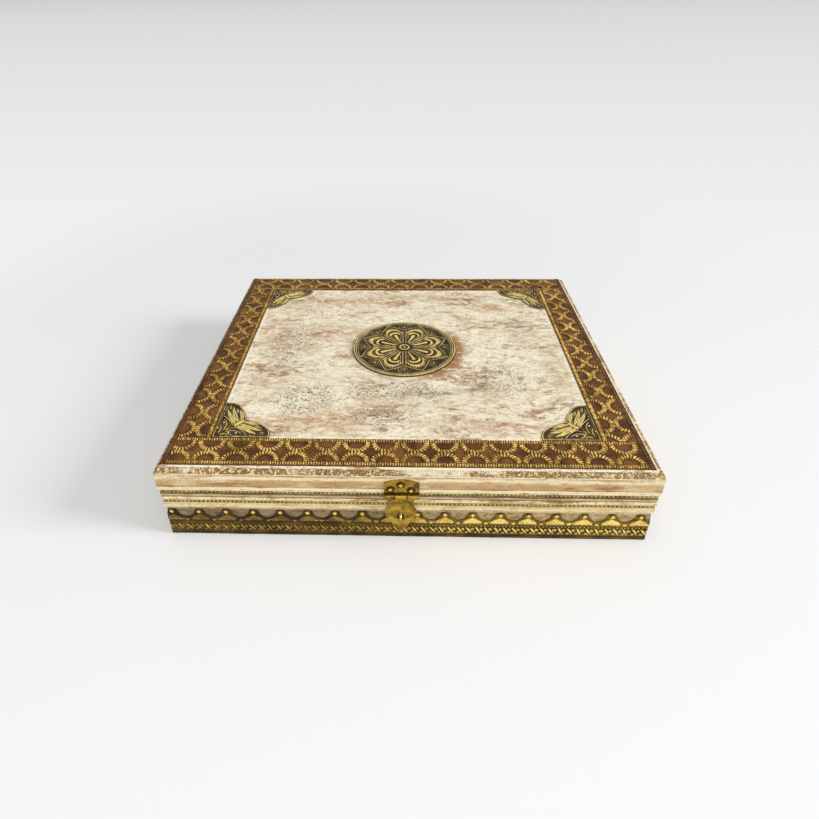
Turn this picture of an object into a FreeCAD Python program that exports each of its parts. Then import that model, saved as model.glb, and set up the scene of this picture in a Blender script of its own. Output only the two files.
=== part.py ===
# Hinged keepsake and paint box: a mitred wooden base and lid dressed with brass,
# closed by a swinging hasp and fitted with a cross-lapped divider grid.
# Frame: origin at the middle of the underside, +X right, -Y front, +Z up. Millimetres.

import FreeCAD, Part
import os
import re
import Sketcher

Vector = FreeCAD.Vector
Rotation = FreeCAD.Rotation

doc = FreeCAD.newDocument("HingedBox")
sheet = doc.addObject("Spreadsheet::Sheet", "Sizes")

drivingSizes = [
    ("lidWidth", 305, "overall width, left to right, over the lid"),
    ("lidDepth", 272, "overall depth, front to back, over the lid"),
    ("railThick", 12, "thickness of the frame rails, from the lid's face plane"),
    ("baseTall", 33.7, "height of the base up to its rim"),
    ("lidRailTall", 18.9, "height of the lid's frame rails"),
    ("partingGap", 0.2, "gap between base rim and lid rim"),
    ("boardThick", 3, "thickness of the lid's top board"),
    ("boardRound", 2.5, "radius of the top board's rounded edge"),
    ("floorThick", 4, "thickness of the floor board"),
    ("floorLap", 6, "how far the floor board reaches under the rails"),
    ("boardEase", 0.2, "clearance round loose boards"),
    ("rimQuirk", 0.5, "flat step between a bead and the parting line"),
    ("beadTall", 2.2, "height of the half-round beads at the parting line"),
    ("beadRoot", 1.1, "depth of a bead's foot behind the lid's face"),
    ("beadBulge", 0.6, "how far a bead swells from its foot"),
    ("lidGrooveTall", 3.2, "height of the lid's ribbon groove"),
    ("lidGrooveDeep", 1.5, "depth of the lid's ribbon groove"),
    ("baseGrooveTall", 2.5, "height of the base's ribbon groove"),
    ("baseGrooveDeep", 1.9, "depth of the base's ribbon groove"),
    ("landTall", 3.2, "height of the flat land below the base groove"),
    ("landInset", 0.9, "depth of that land behind the lid's face"),
    ("coveTall", 1.4, "height of the cove below the land"),
    ("wallInset", 1.9, "depth of the base's wall behind the lid's face"),
    ("ribbonThick", 0.8, "thickness of the beaded ribbon in the grooves"),
    ("ribbonEase", 0.1, "clearance above and below a ribbon in its groove"),
    ("bandThick", 0.5, "thickness of the scalloped brass band"),
    ("bandFoot", 0.3, "height of the band's lower edge above the underside"),
    ("bandPeak", 22, "height of the band's peaks"),
    ("peakHalf", 2.9, "half width of a peak at its top"),
    ("scallopFlare", 1, "how far a scallop's straight sides lean in"),
    ("scallopSpring", 18.6, "height where a scallop's sides meet its bottom"),
    ("scallopFoot", 15.6, "height of a scallop's lowest point"),
    ("bandPitch", 17.2, "distance between peaks"),
    ("bandStart", 3.5, "distance of the first peak from the band's left end"),
    ("bandNailTall", 20.9, "height of the nails in the band's peaks"),
    ("nailHead", 1.9, "radius of a dome nail's head"),
    ("nailDome", 1.25, "height of a dome nail's head"),
    ("nailCrown", 1.0, "radius of the flat on top of a dome nail's head"),
    ("nailShank", 0.5, "corner radius of a dome nail's square shank"),
    ("nailLong", 3, "length of a dome nail's shank"),
    ("stripFront", 5.2, "distance of the front embossed strip from the lid's face plane"),
    ("stripRight", 4.2, "distance of the right embossed strip from its face plane"),
    ("stripBack", 1.9, "distance of the back embossed strip from its face plane"),
    ("stripLeft", 2.3, "distance of the left embossed strip from its face plane"),
    ("stripWide", 25, "width of the embossed strips on the lid"),
    ("stripThick", 0.5, "thickness of the embossed strips"),
    ("stripRibWide", 2.2, "width of the raised rib along each strip edge"),
    ("stripRibTall", 0.5, "height of that rib above the strip"),
    ("ornamentLeg", 37, "length of a corner ornament along the strips"),
    ("ornamentTip", 5, "width of a corner ornament's tips"),
    ("ornamentNotch", 18.6, "distance of the notch between the lobes from both strips"),
    ("lobeFar", 29.6, "the lobe's highest point, along its own leg"),
    ("lobeNear", 15.4, "the lobe's highest point, across its own leg"),
    ("ornamentThick", 0.6, "thickness of the corner ornaments"),
    ("veinWide", 2.6, "width of the raised rib on an ornament's diagonal"),
    ("veinTall", 0.5, "height of that rib"),
    ("medalRadius", 41.1, "radius of the medallion"),
    ("medalRight", -1.4, "medallion's centre, right of the lid's middle"),
    ("medalBack", 5.4, "medallion's centre, behind the lid's middle"),
    ("medalThick", 0.6, "thickness of the medallion's ground"),
    ("medalRimWide", 2.3, "width of the medallion's raised rim"),
    ("medalRimTall", 0.8, "height of that rim above the ground"),
    ("bossRadius", 3.6, "radius of the medallion's centre boss"),
    ("bossTall", 0.9, "height of that boss above the ground"),
    ("petalCount", 8, "petals on the medallion"),
    ("petalRoot", 5, "distance of a petal's inner tip from the centre"),
    ("petalReach", 36, "distance of a petal's outer tip from the centre"),
    ("petalBelly", 25.5, "distance of a petal's widest place from the centre"),
    ("petalHalf", 8.8, "half the widest width of a petal"),
    ("petalTall", 0.5, "height of the petals above the ground"),
    ("gridColumns", 4, "compartments from left to right"),
    ("gridRows", 3, "compartments from front to back"),
    ("slatThick", 3, "thickness of the divider slats"),
    ("slatTall", 24, "height of the divider slats"),
    ("lapEase", 0.1, "clearance on each side in the cross laps"),
    ("sheetThick", 0.9, "sheet thickness of the hasp and hinges"),
    ("barrelRadius", 2.2, "outer radius of the hinges' rolled knuckles"),
    ("pinRadius", 1, "radius of the hinge pins"),
    ("haspBarrelRadius", 1.6, "outer radius of the hasp's rolled knuckles"),
    ("haspPinRadius", 0.6, "radius of the hasp's pin"),
    ("pinEase", 0.05, "radial running clearance round a pin"),
    ("knuckleEase", 0.15, "side clearance between knuckles"),
    ("foldEase", 0.4, "clearance between a leaf's edge and the other's knuckles"),
    ("barrelEase", 0.1, "clearance between a barrel and the face behind it"),
    ("haspRight", -2.6, "middle of the hasp's plate, right of the box's middle"),
    ("leafRight", -3.2, "middle of the hasp's leaf, nails and staple, right of the box's middle"),
    ("haspWide", 21.4, "width of the hasp's plate and barrel"),
    ("haspMiddleKnuckle", 7.7, "width of the gap for the hasp leaf's knuckle"),
    ("haspPinRise", 4.35, "height of the hasp's pin above the lid's lower edge"),
    ("haspShoulderRise", 10.35, "height of the plate's shoulders above the hasp's pin"),
    ("haspCrownRise", 12.95, "height of the plate's arched crown above the pin"),
    ("leafShoulderDrop", 2.45, "depth of the leaf's shoulders below the pin"),
    ("leafShoulderHalf", 8.8, "half width of the leaf at its shoulders"),
    ("leafWaistDrop", 7.25, "depth of the leaf's waist below the pin"),
    ("leafWaistHalf", 7.7, "half width of the leaf at its waist"),
    ("leafHipDrop", 11.25, "depth below the pin where the leaf swells to its hips"),
    ("leafHipHalf", 9.2, "half width of the leaf there"),
    ("leafBellyDrop", 14.85, "depth of the leaf's widest place below the pin"),
    ("leafBellyHalf", 9.7, "half width of the leaf at its widest place"),
    ("leafFlankDrop", 19.05, "depth below the pin where the rounded hips end"),
    ("leafFlankHalf", 7.6, "half width of the leaf there"),
    ("leafNeckDrop", 27.25, "depth below the pin where the leaf turns in to its tip"),
    ("leafNeckHalf", 3.3, "half width there"),
    ("leafTipDrop", 32.25, "depth of the leaf's pointed tip below the pin"),
    ("stapleDrop", 17.05, "depth of the staple and of the leaf's slot below the pin"),
    ("slotWide", 4.7, "width of the leaf's slot"),
    ("slotTall", 6.6, "height of the leaf's slot"),
    ("wireRadius", 0.75, "radius of the staple's wire"),
    ("stapleRadius", 2.1, "bend radius of the staple's eye"),
    ("stapleReach", 0.9, "how far the eye's middle stands in front of the leaf"),
    ("stapleLeg", 8, "how deep the staple's legs go behind the lid's face plane"),
    ("leftNailRise", 5.65, "height of the plate's left nail above the pin"),
    ("rightNailRise", 4.85, "height of the plate's right nail above the pin"),
    ("plateNailHalf", 6.2, "distance of those nails from the leaf's middle"),
    ("topNailRise", 9.15, "height of the plate's upper nail above the pin"),
    ("hingeInset", 62.5, "distance of each hinge's middle from the lid's end"),
    ("hingeWide", 28, "width of a hinge"),
    ("hingeLeafTall", 10.7, "height of a hinge leaf, from the pin"),
    ("hingeMiddleKnuckle", 10, "width of the gap for the lid leaf's knuckle"),
    ("hingeNailHalf", 9.5, "distance of the hinge nails from its middle"),
    ("lidHingeNail", 8.6, "height of the lid leaf's nails above the pin"),
    ("baseHingeNail", 7, "depth of the base leaf's nails below the pin"),
]
sizeNames = set()
for row, (alias, size, note) in enumerate(drivingSizes, start=1):
    sheet.set("A%d" % row, alias)
    sheet.set("B%d" % row, str(size))
    sheet.set("C%d" % row, note)
    sheet.setAlias("B%d" % row, alias)
    sizeNames.add(alias)
doc.recompute()


def bound(formula):
    # Points each size named in the formula to its cell in the sheet.
    def cell(match):
        word = match.group()
        return "Sizes." + word if word in sizeNames else word

    return re.sub(r"[A-Za-z]\w*", cell, formula)


def number(formula):
    return float(sheet.evalExpression(bound(formula)))


# Heights and depths that several pieces share, as formulas of the driving sizes.
lidBottom = "(baseTall + partingGap)"
hingeAxisTall = "(baseTall + partingGap / 2)"
hingeSpread = "(lidWidth / 2 - hingeInset)"
haspAxisTall = "(baseTall + partingGap + haspPinRise)"
stapleTall = "(baseTall + partingGap + haspPinRise - stapleDrop)"
boardTop = "(baseTall + partingGap + lidRailTall + boardThick)"
baseBeadFoot = "(baseTall - rimQuirk - beadTall)"
baseGrooveFoot = "(baseTall - rimQuirk - beadTall - baseGrooveTall)"
landFoot = "(baseTall - rimQuirk - beadTall - baseGrooveTall - landTall)"
coveFoot = "(baseTall - rimQuirk - beadTall - baseGrooveTall - landTall - coveTall)"
bandFace = "(wallInset - bandThick)"
beadFace = "(beadRoot - beadBulge)"

# Outer radius and pin radius of the two kinds of rolled barrel.
hingeBarrel = ("barrelRadius", "pinRadius")
haspBarrel = ("haspBarrelRadius", "haspPinRadius")

# Each side of the box, a quarter turn about Z from the one before: the way it faces, the
# distance of its face plane from the middle, and its length. A side's own frame has x along
# the face and -y pointing out of the box.
sides = {
    "front": (("0", "-1"), "lidDepth / 2", "lidWidth"),
    "right": (("1", "0"), "lidWidth / 2", "lidDepth"),
    "back": (("0", "1"), "lidDepth / 2", "lidWidth"),
    "left": (("-1", "0"), "lidWidth / 2", "lidDepth"),
}

pieces = []


def place(piece, x="0", y="0", z="0", turn=0, axis=Vector(0, 0, 1)):
    piece.Placement = FreeCAD.Placement(Vector(number(x), number(y), number(z)), Rotation(axis, turn))
    for letter, formula in (("x", x), ("y", y), ("z", z)):
        piece.setExpression("Placement.Base." + letter, bound(formula))


def newBody(label, **where):
    body = doc.addObject("PartDesign::Body", label)
    body.Label = label
    body.AllowCompound = True
    place(body, **where)
    pieces.append(body)
    return body


def sideBody(label, side, z="0"):
    (towardX, towardY), reach, _ = sides[side]
    turn = 90 * list(sides).index(side)
    return newBody(label, x=f"{towardX} * {reach}", y=f"{towardY} * {reach}", z=z, turn=turn)


def origin(body, role):
    return next(feature for feature in body.Origin.OriginFeatures if feature.Role == role)


def newSketch(body, name, plane, x="0", y="0", lift="0"):
    sketch = body.newObject("Sketcher::SketchObject", name)
    sketch.AttachmentSupport = [(origin(body, plane), "")]
    sketch.MapMode = "FlatFace"
    sketch.AttachmentOffset = FreeCAD.Placement(Vector(number(x), number(y), number(lift)), Rotation())
    for letter, formula in (("x", x), ("y", y), ("z", lift)):
        sketch.setExpression("AttachmentOffset.Base." + letter, bound(formula))
    return sketch


def pin(sketch, geometry, point, x, y):
    # Ties a point to the sketch's origin by two distances that follow the sheet.
    for kind, formula in (("DistanceX", x), ("DistanceY", y)):
        index = sketch.addConstraint(Sketcher.Constraint(kind, -1, 1, geometry, point, number(formula)))
        sketch.setExpression("Constraints[%d]" % index, bound(formula))


def outline(sketch, corners):
    # A closed outline. A corner is (x, y), or (x, y, throughX, throughY) where an arc starts.
    spots = [Vector(number(corner[0]), number(corner[1]), 0) for corner in corners]
    edges = []
    for index, corner in enumerate(corners):
        start = spots[index]
        end = spots[(index + 1) % len(corners)]
        if len(corner) == 2:
            edges.append((sketch.addGeometry(Part.LineSegment(start, end), False), 1, 2))
            continue
        through = Vector(number(corner[2]), number(corner[3]), 0)
        arc = Part.Arc(start, through, end)
        edge = sketch.addGeometry(arc, False)
        # A sketch keeps its arcs counterclockwise, so an arc's own start can be either end.
        forward = sketch.getPoint(edge, 1).distanceToPoint(start) < sketch.getPoint(edge, 2).distanceToPoint(start)
        edges.append((edge, 1, 2) if forward else (edge, 2, 1))
        helper = sketch.addGeometry(Part.Point(through), True)
        pin(sketch, helper, 1, corner[2], corner[3])
        sketch.addConstraint(Sketcher.Constraint("PointOnObject", helper, 1, edge))
    for index, (edge, start, end) in enumerate(edges):
        following, followingStart, _ = edges[(index + 1) % len(edges)]
        sketch.addConstraint(Sketcher.Constraint("Coincident", edge, end, following, followingStart))
    for (edge, start, end), corner in zip(edges, corners):
        pin(sketch, edge, start, corner[0], corner[1])


def circle(sketch, radius, x="0", y="0"):
    centre = Vector(number(x), number(y), 0)
    index = sketch.addGeometry(Part.Circle(centre, Vector(0, 0, 1), number(radius)), False)
    pin(sketch, index, 3, x, y)
    constraint = sketch.addConstraint(Sketcher.Constraint("Radius", index, number(radius)))
    sketch.setExpression("Constraints[%d]" % constraint, bound(radius))


def feature(body, kind, name, sketch, **values):
    made = body.newObject("PartDesign::" + kind, name)
    made.Profile = sketch
    sketch.Visibility = False
    for key, value in values.items():
        if isinstance(value, str) and key in ("Length", "Angle", "TaperAngle"):
            made.setExpression(key, bound(value))
        else:
            setattr(made, key, value)
    return made


def pattern(body, kind, name, originals, **values):
    made = body.newObject("PartDesign::" + kind, name)
    made.Originals = originals
    for key, value in values.items():
        if isinstance(value, str):
            made.setExpression(key, bound(value))
        else:
            setattr(made, key, value)
    body.Tip = made
    return made


def mirrorEnds(body, original):
    plane = (origin(body, "YZ_Plane"), [""])
    return pattern(body, "Mirrored", "OtherEnd", [original], MirrorPlane=plane)


def mitreEnds(body, length):
    # Cuts both ends at 45 degrees, along the line that runs in from the lid's face corner.
    cut = newSketch(body, "Mitre", "XY_Plane")
    outline(cut, [
        (f"{length} / 2 + railThick", "-railThick"),
        (f"{length} / 2 + railThick", "2 * railThick"),
        (f"{length} / 2 - 2 * railThick", "2 * railThick"),
    ])
    saw = feature(body, "Pocket", "MitreCut", cut, Midplane=True, Length="4 * baseTall")
    mirrorEnds(body, saw)


def mitredLength(label, side, corners, z="0"):
    # A moulding of one section along a side, with mitred ends.
    length = sides[side][2]
    body = sideBody(label, side, z)
    section = newSketch(body, "Section", "YZ_Plane")
    outline(section, corners)
    feature(body, "Pad", "Length", section, Midplane=True, Length=length)
    mitreEnds(body, length)


def baseRail(side):
    # Bottom rabbet for the floor, flat wall, cove, land, ribbon groove and rim bead.
    mitredLength("base_rail_" + side, side, [
        ("wallInset", "0"),
        ("railThick - floorLap", "0"),
        ("railThick - floorLap", "floorThick"),
        ("railThick", "floorThick"),
        ("railThick", "baseTall"),
        ("beadRoot", "baseTall"),
        ("beadRoot", "baseTall - rimQuirk", beadFace, "baseTall - rimQuirk - beadTall / 2"),
        ("beadRoot", baseBeadFoot),
        ("baseGrooveDeep", baseBeadFoot),
        ("baseGrooveDeep", baseGrooveFoot),
        ("landInset", baseGrooveFoot),
        ("landInset", landFoot, "landInset + (wallInset - landInset) * 0.75", f"{landFoot} - coveTall * 0.3"),
        ("wallInset", coveFoot),
    ])


def lidRail(side):
    # Rim bead, ribbon groove and flat face, standing on the lid's own rim.
    mitredLength("lid_rail_" + side, side, [
        ("beadRoot", "0"),
        ("railThick", "0"),
        ("railThick", "lidRailTall"),
        ("0", "lidRailTall"),
        ("0", "rimQuirk + beadTall + lidGrooveTall"),
        ("lidGrooveDeep", "rimQuirk + beadTall + lidGrooveTall"),
        ("lidGrooveDeep", "rimQuirk + beadTall"),
        ("beadRoot", "rimQuirk + beadTall", beadFace, "rimQuirk + beadTall / 2"),
        ("beadRoot", "rimQuirk"),
    ], lidBottom)


def ribbon(label, side, deep, foot, tall, z="0"):
    low = f"{foot} + ribbonEase"
    high = f"{foot} + {tall} - ribbonEase"
    mitredLength(label, side, [
        (deep, low),
        (deep, high),
        (f"{deep} - ribbonThick", high),
        (f"{deep} - ribbonThick", low),
    ], z)


def scallopedBand(side):
    # A strip with a cup-shaped bite between each two peaks; front and back lap the others' ends.
    laps = side in ("front", "back")
    length = f"({sides[side][2]} - 2 * {bandFace})" if laps else f"({sides[side][2]} - 2 * wallInset)"
    gaps = f"floor(({length} - bandStart - peakHalf) / bandPitch)"
    body = sideBody("base_band_" + side, side)
    blank = newSketch(body, "Blank", "XZ_Plane", lift="-wallInset")
    outline(blank, [
        (f"-{length} / 2", "bandFoot"),
        (f"{length} / 2", "bandFoot"),
        (f"{length} / 2", "bandPeak"),
        (f"-{length} / 2", "bandPeak"),
    ])
    feature(body, "Pad", "Sheet", blank, Length="bandThick")
    firstGap = f"(-{length} / 2 + bandStart + bandPitch / 2)"
    bite = newSketch(body, "Bite", "XZ_Plane", x=firstGap, lift="-wallInset")
    top = "(bandPitch / 2 - peakHalf)"
    low = f"({top} - scallopFlare)"
    outline(bite, [
        (top, "bandPeak"),
        (top, "bandPeak + bandThick"),
        (f"-{top}", "bandPeak + bandThick"),
        (f"-{top}", "bandPeak"),
        (f"-{low}", "scallopSpring"),
        (f"-{low} / 2", "scallopFoot"),
        (f"{low} / 2", "scallopFoot"),
        (low, "scallopSpring"),
    ])
    scallop = feature(body, "Pocket", "Scallop", bite, Midplane=True, Length="4 * bandThick")
    pattern(
        body, "LinearPattern", "Scallops", [scallop],
        Direction=(origin(body, "X_Axis"), [""]),
        Length=f"({gaps} - 1) * bandPitch", Occurrences=gaps,
    )
    nails = sideBody("band_nails_" + side, side)
    firstNail = f"(-{length} / 2 + bandStart)"
    nail = domeNail(nails, firstNail, "bandNailTall", bandFace)
    pattern(
        nails, "LinearPattern", "NailRow", nail,
        Direction=(origin(nails, "X_Axis"), [""]),
        Length=f"{gaps} * bandPitch", Occurrences=f"{gaps} + 1",
    )


def regularOutline(sketch, count, radius, rise="0"):
    corners = []
    for index in range(count):
        angle = 360 * (index + 0.5) / count
        corners.append((f"{radius} * cos({angle})", f"{rise} + {radius} * sin({angle})"))
    outline(sketch, corners)


def domeNail(body, x, z, seat):
    # Faceted dome head standing out of the seat plane, square-cut shank running in.
    hexagon = newSketch(body, "HeadOutline", "XZ_Plane", x=x, y=z, lift=f"-({seat})")
    regularOutline(hexagon, 6, "nailHead")
    slope = "atan((nailHead - nailCrown) * cos(30) / nailDome)"
    head = feature(body, "Pad", "Head", hexagon, Length="nailDome", TaperAngle=f"-{slope}")
    square = newSketch(body, "ShankOutline", "XZ_Plane", x=x, y=z, lift=f"-({seat})")
    regularOutline(square, 4, "nailShank")
    shank = feature(body, "Pad", "Shank", square, Reversed=True, Length="nailLong")
    return [head, shank]


def topStrip(side):
    # Embossed strip with a bevelled rib along both edges. The front and back strips run out to
    # the side strips' outer edges, and the side strips fit between the two.
    around = [name.title() for name in sides]
    index = list(sides).index(side)
    before = around[index - 1]
    after = around[(index + 1) % 4]
    lap = "stripWide" if side in ("right", "left") else "0"
    start = f"(strip{before} + {lap} - {sides[side][2]} / 2)"
    end = f"({sides[side][2]} / 2 - strip{after} - {lap})"
    near = f"strip{side.title()}"
    far = f"({near} + stripWide)"
    ribTop = "stripThick + stripRibTall"
    slope = "stripRibTall"
    body = sideBody("lid_strip_" + side, side, boardTop)
    section = newSketch(body, "Section", "YZ_Plane", lift=start)
    outline(section, [
        (near, "0"),
        (far, "0"),
        (far, "stripThick"),
        (f"{far} - {slope}", ribTop),
        (f"{far} - stripRibWide + {slope}", ribTop),
        (f"{far} - stripRibWide", "stripThick"),
        (f"{near} + stripRibWide", "stripThick"),
        (f"{near} + stripRibWide - {slope}", ribTop),
        (f"{near} + {slope}", ribTop),
        (near, "stripThick"),
    ])
    feature(body, "Pad", "Length", section, Length=f"{end} - {start}")


def cornerOrnament(row, column):
    # Two lobes meeting in a notch on the diagonal, with a raised vein along that diagonal.
    turn = {"front_left": 0, "front_right": 90, "back_right": 180, "back_left": 270}[f"{row}_{column}"]
    right = 1 if column == "right" else -1
    back = 1 if row == "back" else -1
    body = newBody(
        f"lid_ornament_{row}_{column}",
        x=f"{right} * (lidWidth / 2 - strip{column.title()} - stripWide)",
        y=f"{back} * (lidDepth / 2 - strip{row.title()} - stripWide)",
        z=boardTop, turn=turn,
    )
    plate = newSketch(body, "Plate", "XY_Plane")
    outline(plate, [
        ("0", "0"),
        ("ornamentLeg", "0"),
        ("ornamentLeg", "ornamentTip", "lobeFar", "lobeNear"),
        ("ornamentNotch", "ornamentNotch", "lobeNear", "lobeFar"),
        ("ornamentTip", "ornamentLeg"),
        ("0", "ornamentLeg"),
    ])
    feature(body, "Pad", "Sheet", plate, Length="ornamentThick")
    vein = newSketch(body, "Vein", "XY_Plane")
    half = "veinWide / 2"
    middle = "ornamentNotch / 2"
    outline(vein, [
        ("veinWide", "veinWide"),
        (f"{middle} + {half}", f"{middle} - {half}"),
        ("ornamentNotch - veinWide", "ornamentNotch - veinWide"),
        (f"{middle} - {half}", f"{middle} + {half}"),
    ])
    feature(body, "Pad", "Vein", vein, Length="ornamentThick + veinTall")


def medallion():
    # Turned disc with a rounded rim and a centre boss, and a ring of pointed petals.
    halfPetal = number("180 / petalCount")
    body = newBody("lid_medallion", x="medalRight", y="medalBack", z=boardTop, turn=halfPetal)
    section = newSketch(body, "Section", "XZ_Plane")
    rim = "(medalRadius - medalRimWide)"
    outline(section, [
        ("0", "0"),
        ("medalRadius", "0"),
        ("medalRadius", "medalThick"),
        ("medalRadius - medalRimWide * 0.4", "medalThick + medalRimTall"),
        (rim, "medalThick"),
        ("bossRadius", "medalThick"),
        ("bossRadius * 0.6", "medalThick + bossTall"),
        ("0", "medalThick + bossTall"),
    ])
    feature(body, "Revolution", "Disc", section, ReferenceAxis=(section, ["V_Axis"]), Angle="360")
    petal = newSketch(body, "Petal", "XY_Plane")
    shoulder = "petalBelly + (petalReach - petalBelly) * 0.6"
    outline(petal, [
        ("petalRoot", "0"),
        ("petalBelly", "-petalHalf"),
        (shoulder, "-petalHalf * 0.75"),
        ("petalReach", "0"),
        (shoulder, "petalHalf * 0.75"),
        ("petalBelly", "petalHalf"),
    ])
    raised = feature(body, "Pad", "Petal", petal, Length="medalThick + petalTall")
    pattern(
        body, "PolarPattern", "Petals", [raised],
        Axis=(origin(body, "Z_Axis"), [""]), Angle=360.0, Occurrences="petalCount",
    )


def plainBoard(label, halfWidth, halfDepth, thick, z):
    body = newBody(label, z=z)
    face = newSketch(body, "Face", "XY_Plane")
    outline(face, [
        (f"-{halfWidth}", f"-{halfDepth}"),
        (halfWidth, f"-{halfDepth}"),
        (halfWidth, halfDepth),
        (f"-{halfWidth}", halfDepth),
    ])
    slab = feature(body, "Pad", "Board", face, Length=thick)
    return body, slab


def topBoard():
    body, slab = plainBoard("lid_board", "lidWidth / 2", "lidDepth / 2", "boardThick", f"{boardTop} - boardThick")
    doc.recompute()
    top = number("boardThick")
    rims = [
        "Edge%d" % count
        for count, edge in enumerate(slab.Shape.Edges, start=1)
        if all(abs(vertex.Z - top) < 1e-6 for vertex in edge.Vertexes)
    ]
    rounded = body.newObject("PartDesign::Fillet", "RoundedRim")
    rounded.Base = (slab, rims)
    rounded.setExpression("Radius", bound("boardRound"))


def floorBoard():
    inset = "(railThick - floorLap + boardEase)"
    plainBoard("base_floor", f"(lidWidth / 2 - {inset})", f"(lidDepth / 2 - {inset})", "floorThick", "0")


def slat(label, span, cells, plane, across, slotLow, **where):
    # A divider board with one cross-lap slot for each slat that it crosses.
    inner = f"({span} / 2 - railThick - boardEase)"
    body = newBody(label, z="floorThick", **where)
    blank = newSketch(body, "Blank", plane)
    outline(blank, [
        (f"-{inner}", "0"),
        (inner, "0"),
        (inner, "slatTall"),
        (f"-{inner}", "slatTall"),
    ])
    feature(body, "Pad", "Board", blank, Midplane=True, Length="slatThick")
    pitch = cellPitch(span, cells)
    first = f"(-({cells} - 2) / 2 * {pitch})"
    half = "(slatThick / 2 + lapEase)"
    slot = newSketch(body, "Lap", plane, x=first, y=slotLow)
    outline(slot, [
        (f"-{half}", "0"),
        (half, "0"),
        (half, "slatTall / 2 + slatThick"),
        (f"-{half}", "slatTall / 2 + slatThick"),
    ])
    lap = feature(body, "Pocket", "Lap", slot, Midplane=True, Length="4 * slatThick")
    pattern(
        body, "LinearPattern", "Laps", [lap],
        Direction=(origin(body, across), [""]),
        Length=f"({cells} - 2) * {pitch}", Occurrences=f"{cells} - 1",
    )


def cellPitch(span, cells):
    # Distance between slats that leaves every compartment the same width.
    return f"(({span} - 2 * railThick + slatThick) / {cells})"


def dividerGrid():
    for count, name in enumerate(("front", "back")):
        y = f"({count} - (gridRows - 2) / 2) * {cellPitch('lidDepth', 'gridRows')}"
        slat("divider_" + name, "lidWidth", "gridColumns", "XZ_Plane", "X_Axis", "slatTall / 2 - lapEase", y=y)
    for count, name in enumerate(("left", "middle", "right")):
        x = f"({count} - (gridColumns - 2) / 2) * {cellPitch('lidWidth', 'gridColumns')}"
        slat("divider_" + name, "lidDepth", "gridRows", "YZ_Plane", "Y_Axis", "-slatThick + lapEase", x=x)


def knuckle(body, barrel, start, end, axisTall):
    # A rolled knuckle between two places along the pin.
    radius, pinRadius = barrel
    ring = newSketch(body, "Knuckle", "YZ_Plane", x=f"-({radius} + barrelEase)", y=axisTall, lift=start)
    circle(ring, radius)
    circle(ring, f"({pinRadius} + pinEase)")
    feature(body, "Pad", "Knuckle", ring, Length=f"{end} - ({start})")


def outerKnuckles(body, barrel, middle, wide, gapMiddle, gap, axisTall):
    knuckle(body, barrel, f"{middle} - {wide} / 2", f"{gapMiddle} - {gap} / 2", axisTall)
    knuckle(body, barrel, f"{gapMiddle} + {gap} / 2", f"{middle} + {wide} / 2", axisTall)


def middleKnuckle(body, barrel, middle, gap, axisTall):
    left = f"{middle} - {gap} / 2 + knuckleEase"
    right = f"{middle} + {gap} / 2 - knuckleEase"
    knuckle(body, barrel, left, right, axisTall)


def leafSheet(body, corners, back="0"):
    # Flat sheet standing in front of its back plane, given as a depth behind the lid's face.
    blank = newSketch(body, "Outline", "XZ_Plane", lift=f"-({back})")
    outline(blank, corners)
    feature(body, "Pad", "Sheet", blank, Length="sheetThick")


def mirroredCorners(middle, half):
    # Corners given down one side of a middle line, then back up the other side.
    rightSide = [(f"{middle} + {corner[0]}", corner[1]) for corner in half]
    leftSide = [(f"{middle} - ({corner[0]})", corner[1]) for corner in reversed(half)]
    return rightSide + leftSide


def haspPlate():
    body = sideBody("hasp_plate", "front")
    gap = "haspMiddleKnuckle"
    shoulder = f"{haspAxisTall} + haspShoulderRise"
    notchTop = f"{haspAxisTall} + haspBarrelRadius + foldEase"
    leafSheet(body, [
        ("haspRight + haspWide / 2", shoulder, "haspRight", f"{haspAxisTall} + haspCrownRise"),
        ("haspRight - haspWide / 2", shoulder),
        ("haspRight - haspWide / 2", haspAxisTall),
        (f"leafRight - {gap} / 2", haspAxisTall),
        (f"leafRight - {gap} / 2", notchTop),
        (f"leafRight + {gap} / 2", notchTop),
        (f"leafRight + {gap} / 2", haspAxisTall),
        ("haspRight + haspWide / 2", haspAxisTall),
    ])
    outerKnuckles(body, haspBarrel, "haspRight", "haspWide", "leafRight", gap, haspAxisTall)


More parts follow.
